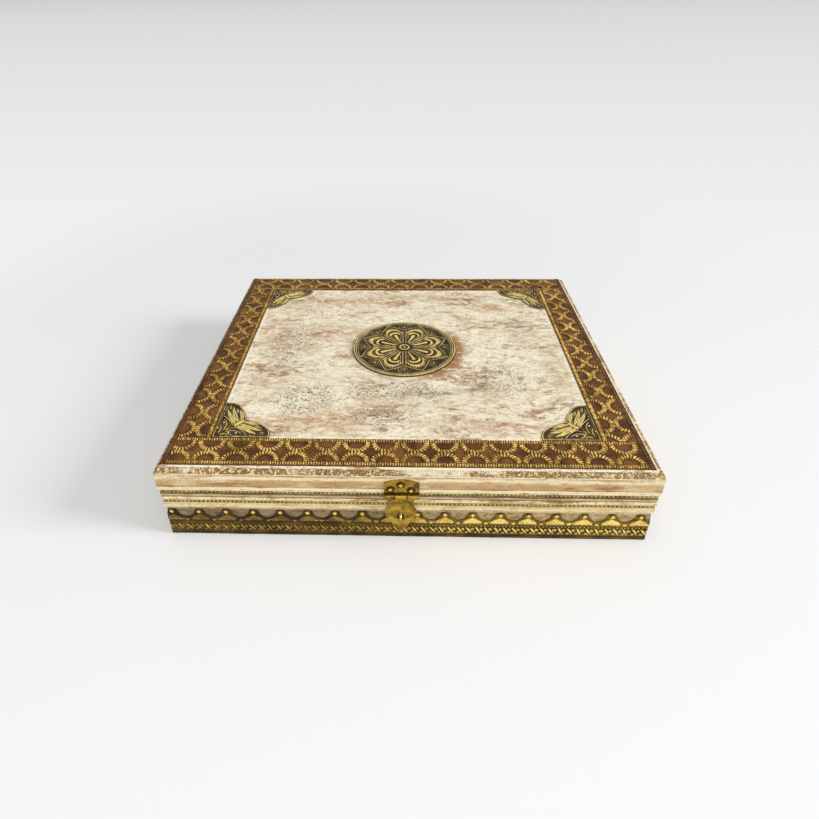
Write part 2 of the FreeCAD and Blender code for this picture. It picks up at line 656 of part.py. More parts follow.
def haspLeaf():
    # Spade-shaped leaf: neck, shoulders, waist, rounded hips and a pointed tip, slotted for the staple.
    body = sideBody("hasp_leaf", "front")
    neck = "(haspMiddleKnuckle / 2 - knuckleEase)"

    def corner(sign, half, drop):
        return (f"leafRight {sign} {half}", f"{haspAxisTall} - {drop}")

    def sideways(sign):
        # The shoulder's arc runs through the waist, the hip's through the belly.
        return [
            corner(sign, neck, "0"),
            corner(sign, neck, "leafShoulderDrop"),
            corner(sign, "leafShoulderHalf", "leafShoulderDrop"),
            corner(sign, "leafHipHalf", "leafHipDrop"),
            corner(sign, "leafFlankHalf", "leafFlankDrop"),
            corner(sign, "leafNeckHalf", "leafNeckDrop"),
        ]

    right = sideways("+")
    left = sideways("-")
    right[2] += corner("+", "leafWaistHalf", "leafWaistDrop")
    right[3] += corner("+", "leafBellyHalf", "leafBellyDrop")
    left[3] += corner("-", "leafWaistHalf", "leafWaistDrop")
    left[4] += corner("-", "leafBellyHalf", "leafBellyDrop")
    tip = corner("+", "0", "leafTipDrop")
    leafSheet(body, right + [tip] + left[::-1], "-barrelEase")
    slot = newSketch(body, "Slot", "XZ_Plane", x="leafRight", y=stapleTall)
    outline(slot, [
        ("slotWide / 2", "-slotTall / 2 + slotWide / 2"),
        ("slotWide / 2", "slotTall / 2 - slotWide / 2", "0", "slotTall / 2"),
        ("-slotWide / 2", "slotTall / 2 - slotWide / 2"),
        ("-slotWide / 2", "-slotTall / 2 + slotWide / 2", "0", "-slotTall / 2"),
    ])
    feature(body, "Pocket", "Slot", slot, Midplane=True, Length="8 * sheetThick")
    middleKnuckle(body, haspBarrel, "leafRight", "haspMiddleKnuckle", haspAxisTall)


def staple():
    # A wire eye, bent round half a turn, whose two legs are driven into the rail through the band.
    body = sideBody("hasp_staple", "front")
    reach = "(barrelEase + sheetThick + stapleReach)"
    section = newSketch(body, "EyeSection", "XZ_Plane", x="leafRight", y=stapleTall, lift=reach)
    regularOutline(section, 6, "wireRadius", "stapleRadius")
    feature(
        body, "Revolution", "Eye", section,
        ReferenceAxis=(section, ["H_Axis"]), Angle="180",
    )
    for name, rise in (("UpperLeg", "stapleRadius"), ("LowerLeg", "-stapleRadius")):
        leg = newSketch(body, name, "XZ_Plane", x="leafRight", y=stapleTall, lift=reach)
        regularOutline(leg, 6, "wireRadius", rise)
        feature(body, "Pad", name, leg, Reversed=True, Length=f"{reach} + stapleLeg")


def pinRod(label, radius, x, y, z, length):
    rod = doc.addObject("Part::Cylinder", label)
    rod.Label = label
    rod.setExpression("Radius", bound(radius))
    rod.setExpression("Height", bound(length))
    place(rod, x=f"{x} - {length} / 2", y=y, z=z, turn=90, axis=Vector(0, 1, 0))
    pieces.append(rod)


def haspSet():
    haspPlate()
    haspLeaf()
    staple()
    pinFront = "-lidDepth / 2 - haspBarrelRadius - barrelEase"
    pinRod("hasp_pin", "haspPinRadius", "haspRight", pinFront, haspAxisTall, "haspWide")
    nails = sideBody("hasp_nails", "front")
    for nailRight, rise in (
        ("leafRight", "topNailRise"),
        ("leafRight - plateNailHalf", "leftNailRise"),
        ("leafRight + plateNailHalf", "rightNailRise"),
    ):
        domeNail(nails, nailRight, f"{haspAxisTall} + {rise}", "-sheetThick")


def hinge(name, middle):
    half = "hingeWide / 2"
    gap = "hingeMiddleKnuckle"
    baseFoot = f"{hingeAxisTall} - hingeLeafTall"
    notchFoot = f"{hingeAxisTall} - barrelRadius - foldEase"
    lower = sideBody(f"hinge_{name}_base_leaf", "back")
    leafSheet(lower, mirroredCorners(middle, [
        (half, baseFoot),
        (half, hingeAxisTall),
        (f"{gap} / 2", hingeAxisTall),
        (f"{gap} / 2", notchFoot),
    ]), beadFace)
    outerKnuckles(lower, hingeBarrel, middle, "hingeWide", middle, gap, hingeAxisTall)
    upper = sideBody(f"hinge_{name}_lid_leaf", "back")
    neck = f"{gap} / 2 - knuckleEase"
    shoulder = f"{hingeAxisTall} + barrelRadius + foldEase"
    leafSheet(upper, mirroredCorners(middle, [
        (neck, hingeAxisTall),
        (neck, shoulder),
        (half, shoulder),
        (half, f"{hingeAxisTall} + hingeLeafTall"),
    ]))
    middleKnuckle(upper, hingeBarrel, middle, gap, hingeAxisTall)
    pinBack = "lidDepth / 2 + barrelRadius + barrelEase"
    pinRod(f"hinge_{name}_pin", "pinRadius", f"-({middle})", pinBack, hingeAxisTall, "hingeWide")


def hingeNails(label, tall, seat):
    nails = sideBody(label, "back")
    for middle in (f"-{hingeSpread}", hingeSpread):
        for nailOffset in ("- hingeNailHalf", "+ hingeNailHalf"):
            domeNail(nails, f"{middle} {nailOffset}", tall, seat)


def hingeSet():
    hinge("left", hingeSpread)
    hinge("right", f"-{hingeSpread}")
    hingeNails("hinge_nails_lid", f"{hingeAxisTall} + lidHingeNail", "-sheetThick")
    hingeNails("hinge_nails_base", f"{hingeAxisTall} - baseHingeNail", f"{beadFace} - sheetThick")


floorBoard()
topBoard()
for side in sides:
    baseRail(side)
    lidRail(side)
    ribbon("base_ribbon_" + side, side, "baseGrooveDeep", baseGrooveFoot, "baseGrooveTall")
    ribbon("lid_ribbon_" + side, side, "lidGrooveDeep", "rimQuirk + beadTall", "lidGrooveTall", lidBottom)
    scallopedBand(side)
    topStrip(side)
cornerOrnament("front", "left")
cornerOrnament("front", "right")
cornerOrnament("back", "right")
cornerOrnament("back", "left")
medallion()
dividerGrid()
haspSet()
hingeSet()
doc.recompute()

for thing in doc.Objects:
    if "Invalid" in thing.State or "Error" in thing.State:
        raise RuntimeError(f"{thing.Label} failed: {thing.State}")
for piece in pieces:
    if piece.Shape.isNull() or not piece.Shape.isValid() or piece.Shape.Volume <= 0:
        raise RuntimeError(f"{piece.Label} has no valid solid")

os.makedirs("parts", exist_ok=True)
for piece in pieces:
    piece.Shape.exportStep(f"parts/{piece.Label}.step")
    box = piece.Shape.BoundBox
    print(
        f"{piece.Label:24s} solids {len(piece.Shape.Solids):3d}  volume {piece.Shape.Volume:10.1f}"
        f"  x {box.XMin:7.1f} {box.XMax:7.1f}  y {box.YMin:7.1f} {box.YMax:7.1f}  z {box.ZMin:6.1f} {box.ZMax:6.1f}"
    )
print(len(pieces), "pieces written")
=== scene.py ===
import math

import bpy
import numpy as np
from mathutils import Matrix, Vector


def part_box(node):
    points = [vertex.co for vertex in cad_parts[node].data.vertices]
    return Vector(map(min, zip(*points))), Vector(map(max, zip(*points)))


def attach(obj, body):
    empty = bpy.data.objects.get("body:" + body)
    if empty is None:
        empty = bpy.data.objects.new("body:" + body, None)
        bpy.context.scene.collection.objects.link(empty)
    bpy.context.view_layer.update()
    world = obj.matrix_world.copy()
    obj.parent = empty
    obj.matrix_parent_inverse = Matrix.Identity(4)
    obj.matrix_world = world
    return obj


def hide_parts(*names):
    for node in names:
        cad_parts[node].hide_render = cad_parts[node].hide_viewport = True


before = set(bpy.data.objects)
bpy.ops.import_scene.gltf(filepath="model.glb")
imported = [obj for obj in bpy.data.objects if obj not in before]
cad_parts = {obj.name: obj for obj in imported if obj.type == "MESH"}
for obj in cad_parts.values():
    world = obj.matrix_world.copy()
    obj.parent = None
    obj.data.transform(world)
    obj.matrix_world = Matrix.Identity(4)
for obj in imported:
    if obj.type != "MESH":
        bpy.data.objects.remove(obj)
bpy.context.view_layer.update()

scene = bpy.context.scene
mm = 0.001
sides = {"front": 0, "right": 90, "back": 180, "left": 270}


def colour(red, green, blue):
    # a colour as seen on screen, given as 0 to 255
    def linear(part):
        return ((part / 255 + 0.055) / 1.055) ** 2.4 if part > 10 else part / 3295

    return (linear(red), linear(green), linear(blue), 1.0)


def sizeOf(node):
    low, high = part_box(node)
    return Vector(low) / mm, Vector(high) / mm


def connect(value, socket):
    if isinstance(value, bpy.types.NodeSocket):
        value.id_data.links.new(value, socket)
    else:
        socket.default_value = value


def wire(kind, inputs, tree=None, **settings):
    # a new node, in the tree that its inputs come from unless one is given
    tree = tree or next(value.id_data for value in inputs.values() if isinstance(value, bpy.types.NodeSocket))
    made = tree.nodes.new(kind)
    for key, value in settings.items():
        setattr(made, key, value)
    for key, value in inputs.items():
        connect(value, made.inputs[key])
    return made


def calc(action, first, second=0.0):
    return wire("ShaderNodeMath", {0: first, 1: second}, operation=action).outputs[0]


def times(first, second):
    return calc("MULTIPLY", first, second)


def minus(first, second):
    return calc("SUBTRACT", first, second)


def apart(first, second):
    return calc("ABSOLUTE", minus(first, second))


def total(*values):
    whole = values[0]
    for value in values[1:]:
        whole = calc("ADD", whole, value)
    return whole


def centred(value, gain):
    # a noise from 0 to 1, moved to lie round 0
    return times(minus(value, 0.5), gain)


def vector(action, *values):
    made = wire("ShaderNodeVectorMath", dict(enumerate(values)), operation=action)
    return made.outputs["Value" if action in ("LENGTH", "DOT_PRODUCT") else "Vector"]


def scaled(place, factor):
    return vector("MULTIPLY", place, (factor, factor, factor))


def axesOf(place):
    return wire("ShaderNodeSeparateXYZ", {0: place}).outputs


def between(value, low, high, start=0.0, end=1.0):
    # smooth step of a value from start to end
    made = wire("ShaderNodeMapRange", {
        "Value": value, "From Min": low, "From Max": high, "To Min": start, "To Max": end,
    }, interpolation_type="SMOOTHSTEP")
    return made.outputs["Result"]


def mixed(factor, under, over):
    # two colours, each a socket or as seen on screen; 6, 7 and 2 are the mix node's colour sockets
    under, over = (colour(*tint) if isinstance(tint, tuple) else tint for tint in (under, over))
    return wire("ShaderNodeMix", {0: factor, 6: under, 7: over}, data_type="RGBA").outputs[2]


def layer(tint, over, signal, low, high, start=0.0, end=1.0):
    # a colour laid over another where a signal runs from low to high
    return mixed(between(signal, low, high, start, end), tint, over)


def grain(place, stretch, detail=5.0, roughness=0.55, distortion=0.0):
    # noise that is stretched by a size in mm along each axis
    made = wire("ShaderNodeTexNoise", {
        "Vector": vector("MULTIPLY", place, tuple(1 / size for size in stretch)),
        "Scale": 1.0, "Detail": detail, "Roughness": roughness, "Distortion": distortion,
    })
    return made.outputs[0]


def blend(noises, **parts):
    # the named noises, each times its part, added up
    return total(*(times(noises[key], part) for key, part in parts.items()))


def shaken(noises, *bases, **gains):
    # what is given first, with the named noises added to it, moved to lie round 0
    return total(*bases, *(centred(noises[key], gain) for key, gain in gains.items()))


def stretched(along, far, near):
    # sizes of a noise on the three axes, far on the one that the grain follows
    return tuple(far if axis == along else near for axis in range(3))


def newMaterial(name):
    # with its shader, and the place in mm of what is shaded
    material = bpy.data.materials.new(name)
    material.use_nodes = True
    tree = material.node_tree
    tree.nodes.clear()
    shader = wire("ShaderNodeBsdfPrincipled", {}, tree)
    wire("ShaderNodeOutputMaterial", {"Surface": shader.outputs[0]})
    place = scaled(wire("ShaderNodeTexCoord", {}, tree).outputs["Object"], 1 / mm)
    return material, shader, place


def finishMaterial(shader, baseColour, roughness, height, depth):
    # height is 0 to 1 and stands for depth mm
    raised = wire("ShaderNodeBump", {"Height": height, "Strength": 1.0, "Distance": depth * mm})
    wired = {"Base Color": baseColour, "Roughness": roughness, "Normal": raised.outputs[0]}
    for socket, value in wired.items():
        connect(value, shader.inputs[socket])


# colours of the lid's top and of its rails, as seen on screen from 0 to 255
paintLooks = {
    "lid": {
        "cream": (254, 245, 219), "shade": (226, 212, 180), "ochre": (190, 162, 112),
        "blush": (194, 148, 104), "bareWood": (162, 110, 58), "darkWoodAndShade": (92, 62, 36),
        "smudgeAndShade": (146, 136, 112), "speck": (56, 45, 30),
    },
    "rail": {
        "cream": (246, 228, 188), "shade": (214, 186, 134), "ochre": (182, 142, 80),
        "blush": (196, 144, 88), "bareWood": (146, 92, 42), "darkWoodAndShade": (84, 52, 22),
        "smudgeAndShade": (134, 112, 62), "speck": (50, 38, 16), "yellow": (226, 196, 122),
    },
}
arrisBrown = (122, 84, 20)
arrisPaintedGlint = (252, 224, 158)
# tarnished wood round the band as a shaded and a lit copy: painted light that brightens it towards the right
# end
tarnishedWoodShaded = ((78, 64, 28), (132, 110, 66))
tarnishedWoodLit = ((132, 112, 58), (196, 168, 116))
rawWood = ((176, 134, 92), (132, 92, 58))
# where the finish changes, in mm: heights, depths in from the lid's faces, and one place across, the span
# where painted light brightens the tarnish
paintEdges = {
    "arrisFoot": (52.9, 53.7),
    "arrisDepth": (2.7, 3.5),
    "insideDepth": (10.6, 11.8),
    "insideTop": (53.4, 53.8),
    "tarnishTop": (21.6, 24.4),
    "brightEnd": (-40.0, 60.0),
    "besideStrips": (1.2, 2.8),
}
# dirt and painted shade in the grooves and the parting gap on the sides: height, half height and strength
railDirtAndShade = ((31.2, 0.3, 0.4), (33.7, 0.4, 0.6), (36.3, 0.4, 0.85), (43.3, 0.35, 0.6), (53.2, 0.35, 0.7))
# broad streaks along the sides: height, half height, strength and colour
railStreaks = (
    (45.6, 2.8, 0.85, "ochre"), (48.2, 0.9, 0.5, "blush"), (50.2, 1.3, 0.8, "cream"),
    (52.4, 1.0, 0.7, "ochre"), (41.8, 1.3, 0.85, "cream"), (38.4, 1.2, 0.9, "cream"),
    (34.8, 1.2, 0.7, "ochre"), (28.6, 2.8, 0.6, "yellow"), (25.4, 0.8, 0.8, "cream"),
)
# dark brushed patches along the front and back: middle across, height, half sizes
railPatches = (
    (97.5, 45.2, 4.0, 1.6), (120.0, 45.0, 9.0, 2.2), (-84.0, 53.6, 16.0, 1.2), (-112.0, 45.5, 14.0, 1.5),
)
# noises of the paint: size along and across the brush in mm, detail, roughness, distortion
paintNoises = {
    "broad": (52, 24, 4.0, 0.55, 0.0),
    "patch": (30, 30, 5.0, 0.6, 0.0),
    "fine": (1.7, 1.7, 4.0, 0.7, 0.0),
    "grit": (1.0, 1.0, 3.0, 0.7, 0.0),
    "mottle": (4.5, 3.2, 5.0, 0.75, 0.6),
    "white": (12, 5, 5.0, 0.7, 0.0),
    "rings": (90, 2.4, 5.0, 0.6, 0.8),
}
brushNoises = {
    "lid": {
        "dabs": (8, 5, 5.0, 0.66, 0.5),
        "streak": (15, 4.6, 6.0, 0.7, 0.5),
        "brush": (7, 1.3, 4.0, 0.65, 0.0),
    },
    "rail": {
        "dabs": (24, 6, 5.0, 0.66, 0.5),
        "streak": (34, 2.2, 6.0, 0.7, 0.5),
        "brush": (22, 0.8, 4.0, 0.65, 0.0),
    },
}
# how far the brush sweeps round in curves, and the size of the curves, in mm
brushSweep = {"lid": 18.0, "rail": 0.0}
sweepSize = 46
# how much of each noise stands up in the paint
paintRelief = {"brush": 0.5, "dabs": 0.6, "fine": 0.5}
# layers of the paint before and after its stains: noise, range of it, strength and colour
freshLayers = (("paper", 0.44, 0.6, 1.0, "shade"), ("dabs", 0.52, 0.62, 0.65, "ochre"))
wornLayers = (
    ("wear", 0.73, 0.8, 0.85, "darkWoodAndShade"), ("mottle", 0.54, 0.64, 0.5, "smudgeAndShade"),
    ("grit", 0.57, 0.68, 0.45, "smudgeAndShade"), ("white", 0.52, 0.62, 0.7, "cream"),
)
# worn and stained places on the lid: middle x, y, half sizes, turn in degrees, colour, strength
lidStains = {
    "rubbedFront": (-55, -88, 46, 11, 4, "blush", 0.95),
    "rubbedLeft": (-104, 24, 14, 36, 10, "blush", 0.7),
    "rubbedBack": (-45, 84, 48, 9, 0, "blush", 0.7),
    "pinkBack": (75, 75, 18, 7, 0, "blush", 0.9),
    "brownBack": (10, 93, 60, 7, 0, "ochre", 0.9),
    "brownFront": (-18, -74, 28, 10, 12, "bareWood", 0.6),
    "rightFront": (62, -92, 46, 7, -3, "blush", 0.7),
    "greyPatch": (52, -48, 17, 7, 10, "smudgeAndShade", 0.9),
    "greyRight": (96, 35, 12, 26, 0, "smudgeAndShade", 0.5),
    "greyMiddle": (12, -58, 30, 7, -6, "smudgeAndShade", 0.5),
    "besideLeft": (-62, 30, 30, 14, 8, "blush", 0.6),
    "lowLeft": (-98, -40, 14, 16, 0, "blush", 0.6),
    "frontLeftLeaf": (-86, -98, 8, 5, 10, "bareWood", 0.85),
    "frontLeftHigh": (-112, -68, 4, 9, -30, "ochre", 0.9),
    "backLeftHigh": (-98, 86, 16, 6, 38, "ochre", 1.0),
    "backRightHigh": (96, 86, 16, 6, -38, "ochre", 0.9),
    "rightOchre": (112, -20, 9, 40, 4, "ochre", 0.6),
}
# a stain and a painted shade that hug the medallion, the shade on its left: direction in degrees, spread,
# reach from its rim, colour, strength
medallionStainAndShade = {
    "brownCrescent": (-18, 0.35, 10, "bareWood", 0.95),
    "greenShade": (190, 0.2, 5, "smudgeAndShade", 0.6),
}
# flecks of dark wood that show through the paint: middle x, y, half sizes
lidFlecks = {
    "frontLeft": (-72, -62, 30, 26),
    "frontMiddle": (-18, -82, 28, 14),
    "left": (-92, 10, 22, 40),
    "middle": (-10, -52, 50, 14),
    "right": (70, -40, 26, 26),
}


def spot(place, x, y, halfX, halfY, turn=0.0):
    # distance from a place's middle, 1 at its rim
    local = wire("ShaderNodeMapping", {
        "Vector": place, "Location": (x, y, 0), "Rotation": (0, 0, math.radians(turn)),
        "Scale": (halfX, halfY, 1e6),
    }, vector_type="TEXTURE")
    return vector("LENGTH", local.outputs[0])


def besideStrips(place):
    # distance in from the nearest border strip
    axes = axesOf(place)
    inset = 1000.0      # beyond every strip
    for axis, line, sign in (
        (0, sizeOf("lid_strip_left")[1].x, 1), (0, sizeOf("lid_strip_right")[0].x, -1),
        (1, sizeOf("lid_strip_front")[1].y, 1), (1, sizeOf("lid_strip_back")[0].y, -1),
    ):
        inset = calc("MINIMUM", inset, times(minus(axes[axis], line), sign))
    return inset


def lidMarks(place, tint, look, noises):
    # stains, a stain and a painted shade round the medallion, and the brighter paint along the strips
    ragged = shaken(noises, patch=2.6, streak=2.4, fine=2.8)
    streaky = between(blend(noises, streak=0.6, mottle=0.4), 0.44, 0.54, 0.35, 1.0)
    for x, y, halfX, halfY, turn, which, strength in lidStains.values():
        distance = total(spot(place, x, y, halfX, halfY, turn), ragged)
        tint = mixed(times(between(distance, 0.45, 1.3, strength, 0.0), streaky), tint, look[which])
    low, high = sizeOf("lid_medallion")
    middle = (low + high) / 2
    radius = spot(place, middle.x, middle.y, 1, 1)
    # a brown stain on the right, and a greenish painted shade on the left
    for heading, spread, reach, which, strength in medallionStainAndShade.values():
        toward = (math.cos(math.radians(heading)), math.sin(math.radians(heading)), 0)
        offset = vector("SUBTRACT", place, (middle.x, middle.y, 0))
        aligned = calc("DIVIDE", vector("DOT_PRODUCT", offset, toward), radius)
        far = total(minus(radius, (high.x - low.x) / 2), times(ragged, 3.5))
        cover = times(between(far, reach * 0.3, reach, strength, 0), between(aligned, spread, spread + 0.45))
        tint = mixed(cover, tint, look[which])
    inset = total(besideStrips(place), times(ragged, 0.6))
    return layer(tint, look["cream"], inset, *paintEdges["besideStrips"], 0.8, 0.0)


def railMarks(place, tint, look, noises, height):
    # streaks along the sides, dirt and painted shade in the moulding's grooves, and tarnish on the wood round
    # the band, painted lighter towards the right
    shaky = shaken(noises, height, streak=1.8)
    loose = shaken(noises, height, dabs=5.0)
    for level, half, strength, which in railStreaks:
        cover = between(apart(loose, level), half * 0.4, half * 1.3, strength, 0.0)
        cover = times(cover, between(noises["broad"], 0.36, 0.56, 0.25, 1.0))
        tint = mixed(cover, tint, look[which])
    # the patches' places are seen from the front
    turned = wire("ShaderNodeMapping", {"Vector": place, "Rotation": (math.pi / 2, 0, 0)}).outputs[0]
    torn = shaken(noises, streak=3.0, fine=2.4)
    for x, level, halfX, halfTall in railPatches:
        distance = total(spot(turned, x, -level, halfX, halfTall), torn)
        tint = layer(tint, look["bareWood"], distance, 0.5, 1.1, 0.75, 0.0)
    # dark lines in the grooves and gaps: dirt, and painted shade where the mouldings meet
    for level, half, strength in railDirtAndShade:
        tint = layer(tint, look["darkWoodAndShade"], apart(shaky, level), half * 0.5, half * 1.5, strength, 0.0)
    low = between(shaky, *paintEdges["tarnishTop"], 0.96, 0.0)
    low = times(low, between(noises["dabs"], 0.3, 0.6, 0.8, 1.0))
    clouds = between(noises["mottle"], 0.42, 0.6)
    # painted light: the tarnish brightens from the left end to the right
    paintedLightAcross = between(axesOf(place)[0], *paintEdges["brightEnd"])
    return mixed(low, tint, mixed(paintedLightAcross, mixed(clouds, *tarnishedWoodShaded), mixed(clouds, *tarnishedWoodLit)))


def arris(tint, noises, height, depth):
    # brown rubbed edge round the lid, with painted highlights of gold glinting on it
    ragged = shaken(noises, depth, streak=2.4)
    patchy = shaken(noises, noises["broad"], streak=1.0, fine=0.6)
    edge = between(height, *paintEdges["arrisFoot"])
    edge = times(edge, between(ragged, *paintEdges["arrisDepth"], 0.95, 0.0))
    edge = times(edge, between(patchy, 0.32, 0.42, 0.35, 1.0))
    # painted highlights: bright gold flecks where the fine noise peaks
    paintedGlint = between(noises["fine"], 0.5, 0.6, 0.0, 0.9)
    return mixed(edge, tint, mixed(paintedGlint, arrisBrown, arrisPaintedGlint))


def layered(tint, layers, look, noises):
    for noise, low, high, strength, which in layers:
        tint = layer(tint, look[which], noises[noise], low, high, 0.0, strength)
    return tint


def wornPaint(place, look, noises, onLid):
    # the paint's colour, and where it is worn through or chipped
    noises["paper"] = blend(noises, brush=0.5, fine=0.5)
    noises["wear"] = blend(noises, broad=0.5, streak=0.4, mottle=0.35)
    tint = layered(look["cream"], freshLayers, look, noises)
    rosy = times(between(noises["patch"], 0.46, 0.58), between(noises["streak"], 0.44, 0.56, 0.2, 1))
    tint = mixed(times(rosy, 0.4), tint, look["blush"])
    if onLid:
        tint = lidMarks(place, tint, look, noises)
    worn = between(noises["wear"], 0.66, 0.73, 0.0, 0.9)
    tint = mixed(worn, tint, mixed(noises["paper"], look["bareWood"], look["blush"]))
    tint = layered(tint, wornLayers, look, noises)
    near = between(noises["patch"], 0.5, 0.64, 0.0, 0.5)
    for x, y, halfX, halfY in (lidFlecks if onLid else {}).values():
        near = calc("MAXIMUM", near, between(spot(place, x, y, halfX, halfY), 0.5, 1.2, 1.0, 0.0))
    chipped = between(total(noises["dots"], times(near, 0.14)), 0.7, 0.75, 0.0, 0.9)
    return mixed(chipped, tint, look["speck"]), worn, chipped


def paintedWood(name, along, seed, palette):
    # brushed white paint over brown wood; along is the axis that the brush and the grain follow
    material, shader, place = newMaterial(name)
    look = paintLooks[palette]
    onLid = palette == "lid"
    field = vector("ADD", place, (seed * 131.0, seed * 57.0, seed * 29.0))
    swing = {"Vector": scaled(field, 1 / sweepSize), "Scale": 1.0, "Detail": 1.0}
    sweep = wire("ShaderNodeTexNoise", swing).outputs["Color"]
    field = vector("ADD", field, scaled(sweep, brushSweep[palette]))
    noises = {"dots": grain(field, (1.5, 1.0, 1.2), 3.0, 0.6, 0.6)}
    for key, (far, near, *detail) in {**paintNoises, **brushNoises[palette]}.items():
        noises[key] = grain(field, stretched(along, far, near), *detail)
    tint, worn, chipped = wornPaint(place, look, noises, onLid)
    # how far in from the lid's face planes
    lidHalf = sizeOf("lid_board")[1]
    across, inward, height = axesOf(place)
    fromEnd = minus(lidHalf.x, calc("ABSOLUTE", across))
    depth = calc("MINIMUM", fromEnd, minus(lidHalf.y, calc("ABSOLUTE", inward)))
    if not onLid:
        tint = railMarks(place, tint, look, noises, height)
    tint = arris(tint, noises, height, depth)
    # bare wood inside the box
    inside = between(total(depth, times(noises["patch"], 3.0)), *paintEdges["insideDepth"])
    inside = times(inside, between(height, *paintEdges["insideTop"], 1.0, 0.0))
    tint = mixed(inside, tint, layer(*rawWood, noises["rings"], 0.4, 0.62))
    sunk = total(times(worn, 0.4), chipped)
    relief = minus(blend(noises, **paintRelief), sunk)
    finishMaterial(shader, tint, between(noises["fine"], 0.2, 0.8, 0.52, 0.8), relief, 0.45)
    return material


innerWoodLook = {
    "light": (186, 146, 102),
    "dark": (138, 98, 62),
}


def innerWood(name, along):
    # bare wood; along is the axis that its grain follows
    material, shader, place = newMaterial(name)
    look = innerWoodLook
    rings = grain(place, stretched(along, 110, 3.2), 6.0, 0.6, 1.2)
    pores = grain(place, stretched(along, 9, 0.5), 3.0)
    tint = layer(look["light"], look["dark"], rings, 0.36, 0.64)
    tint = layer(tint, look["dark"], pores, 0.58, 0.7, 0.0, 0.6)
    relief = minus(rings, times(pores, 0.8))
    finishMaterial(shader, tint, between(pores, 0.3, 0.7, 0.55, 0.75), relief, 0.2)
    return material


# ground, second ground, raised and bright raised colours, soot, metalness of ground and raised; the bright
# colour is rubbed brass and painted highlight, the soot also painted shade at the pattern's foot
metalLooks = {
    "stripBrass": ((84, 50, 14), (134, 84, 36), (160, 120, 40), (248, 218, 130), (22, 12, 2), 0.2, 0.6),
    "bandBrass": ((62, 42, 6), (104, 78, 20), (176, 140, 48), (255, 226, 128), (14, 9, 1), 0.3, 0.5),
    "ornamentBrass": ((40, 28, 8), (92, 70, 30), (216, 190, 126), (255, 228, 108), (10, 6, 2), 0.2, 0.4),
    "ribbonBrass": ((92, 80, 6), (160, 140, 48), (208, 188, 104), (255, 248, 206), (48, 40, 4), 0.2, 0.3),
    "tackBrass": ((54, 38, 8), (80, 60, 18), (172, 138, 46), (250, 220, 122), (20, 13, 3), 0.5, 0.8),
}


def embossedBrass(name):
    # tone is the mesh's own value for how far the pattern stands up: 0 in the hollows, 1 on top
    ground, groundTwo, raised, bright, sootAndShade, groundMetal, raisedMetal = metalLooks[name]
    material, shader, place = newMaterial(name)
    tone = wire("ShaderNodeAttribute", {}, material.node_tree, attribute_name="tone").outputs["Fac"]
    cloud = grain(place, (14, 14, 14), 5.0, 0.6)
    fine = grain(place, (1.4, 1.4, 1.4), 5.0, 0.65)
    noises = {"cloud": cloud, "fine": fine}
    low = layer(layer(ground, groundTwo, cloud, 0.38, 0.62), sootAndShade, fine, 0.5, 0.68, 0.0, 0.7)
    crest = shaken(noises, tone, fine=0.9, cloud=0.7)
    lift = between(shaken(noises, tone, fine=0.35), 0.3, 0.62)
    # raised parts rubbed to gold, their crests brighter still: rubbed brass and a painted highlight
    tint = mixed(lift, low, layer(raised, bright, crest, 0.62, 1.02))
    # soot and painted shade gather at the foot of the pattern
    tint = layer(tint, sootAndShade, apart(tone, 0.2), 0.02, 0.16, 0.8, 0.0)
    connect(0.3, shader.inputs["Specular IOR Level"])
    connect(between(lift, 0.0, 1.0, groundMetal, raisedMetal), shader.inputs["Metallic"])
    finishMaterial(shader, tint, between(fine, 0.25, 0.75, 0.36, 0.6), fine, 0.12)
    return material


# plain, bright and tarnished colours
sheetLooks = {
    "haspBrass": ((140, 108, 24), (192, 158, 60), (62, 44, 8)),
    "stapleBrass": ((184, 146, 58), (250, 226, 150), (70, 52, 20)),
    "pinMetal": ((168, 158, 128), (208, 200, 176), (78, 70, 50)),
}
haspGrimeAndShadeColour = (40, 26, 4)
# grime and painted shade on the hasp: level lines with height, half height and strength,
# upright ones with place across, half width, foot and top
haspLines = ((40.6, 0.75, 0.9), (36.5, 0.45, 0.7))
haspJoints = ((-7.05, 0.28, 36.0, 40.0), (0.65, 0.28, 36.0, 40.0))
haspRing = 0.35     # how far outside a tack's head its ring of grime and painted shade lies


def haspDirtAndShade(place, tint):
    # grime and painted shade in the fold, between the knuckles and round the tacks
    across, _, height = axesOf(place)
    shaky = total(height, centred(grain(place, (3, 3, 3)), 0.8))
    dirtAndShade = 0.0
    for level, half, strength in haspLines:
        line = between(apart(shaky, level), half * 0.5, half * 1.4, strength, 0.0)
        dirtAndShade = calc("MAXIMUM", dirtAndShade, line)
    for joint, half, foot, top in haspJoints:
        reach = times(between(height, foot, foot + 0.3), between(height, top - 0.3, top, 1.0, 0.0))
        line = times(between(apart(across, joint), half, half * 2, 0.9, 0.0), reach)
        dirtAndShade = calc("MAXIMUM", dirtAndShade, line)
    for x, z in tackLook["hasp"]:
        flat = vector("MULTIPLY", vector("SUBTRACT", place, (x, 0, z)), (1, 0, 1))
        away = apart(vector("LENGTH", flat), tackLook["radius"] + haspRing)
        dirtAndShade = calc("MAXIMUM", dirtAndShade, between(away, 0.25, 0.7, 0.9, 0.0))
    return mixed(dirtAndShade, tint, haspGrimeAndShadeColour)


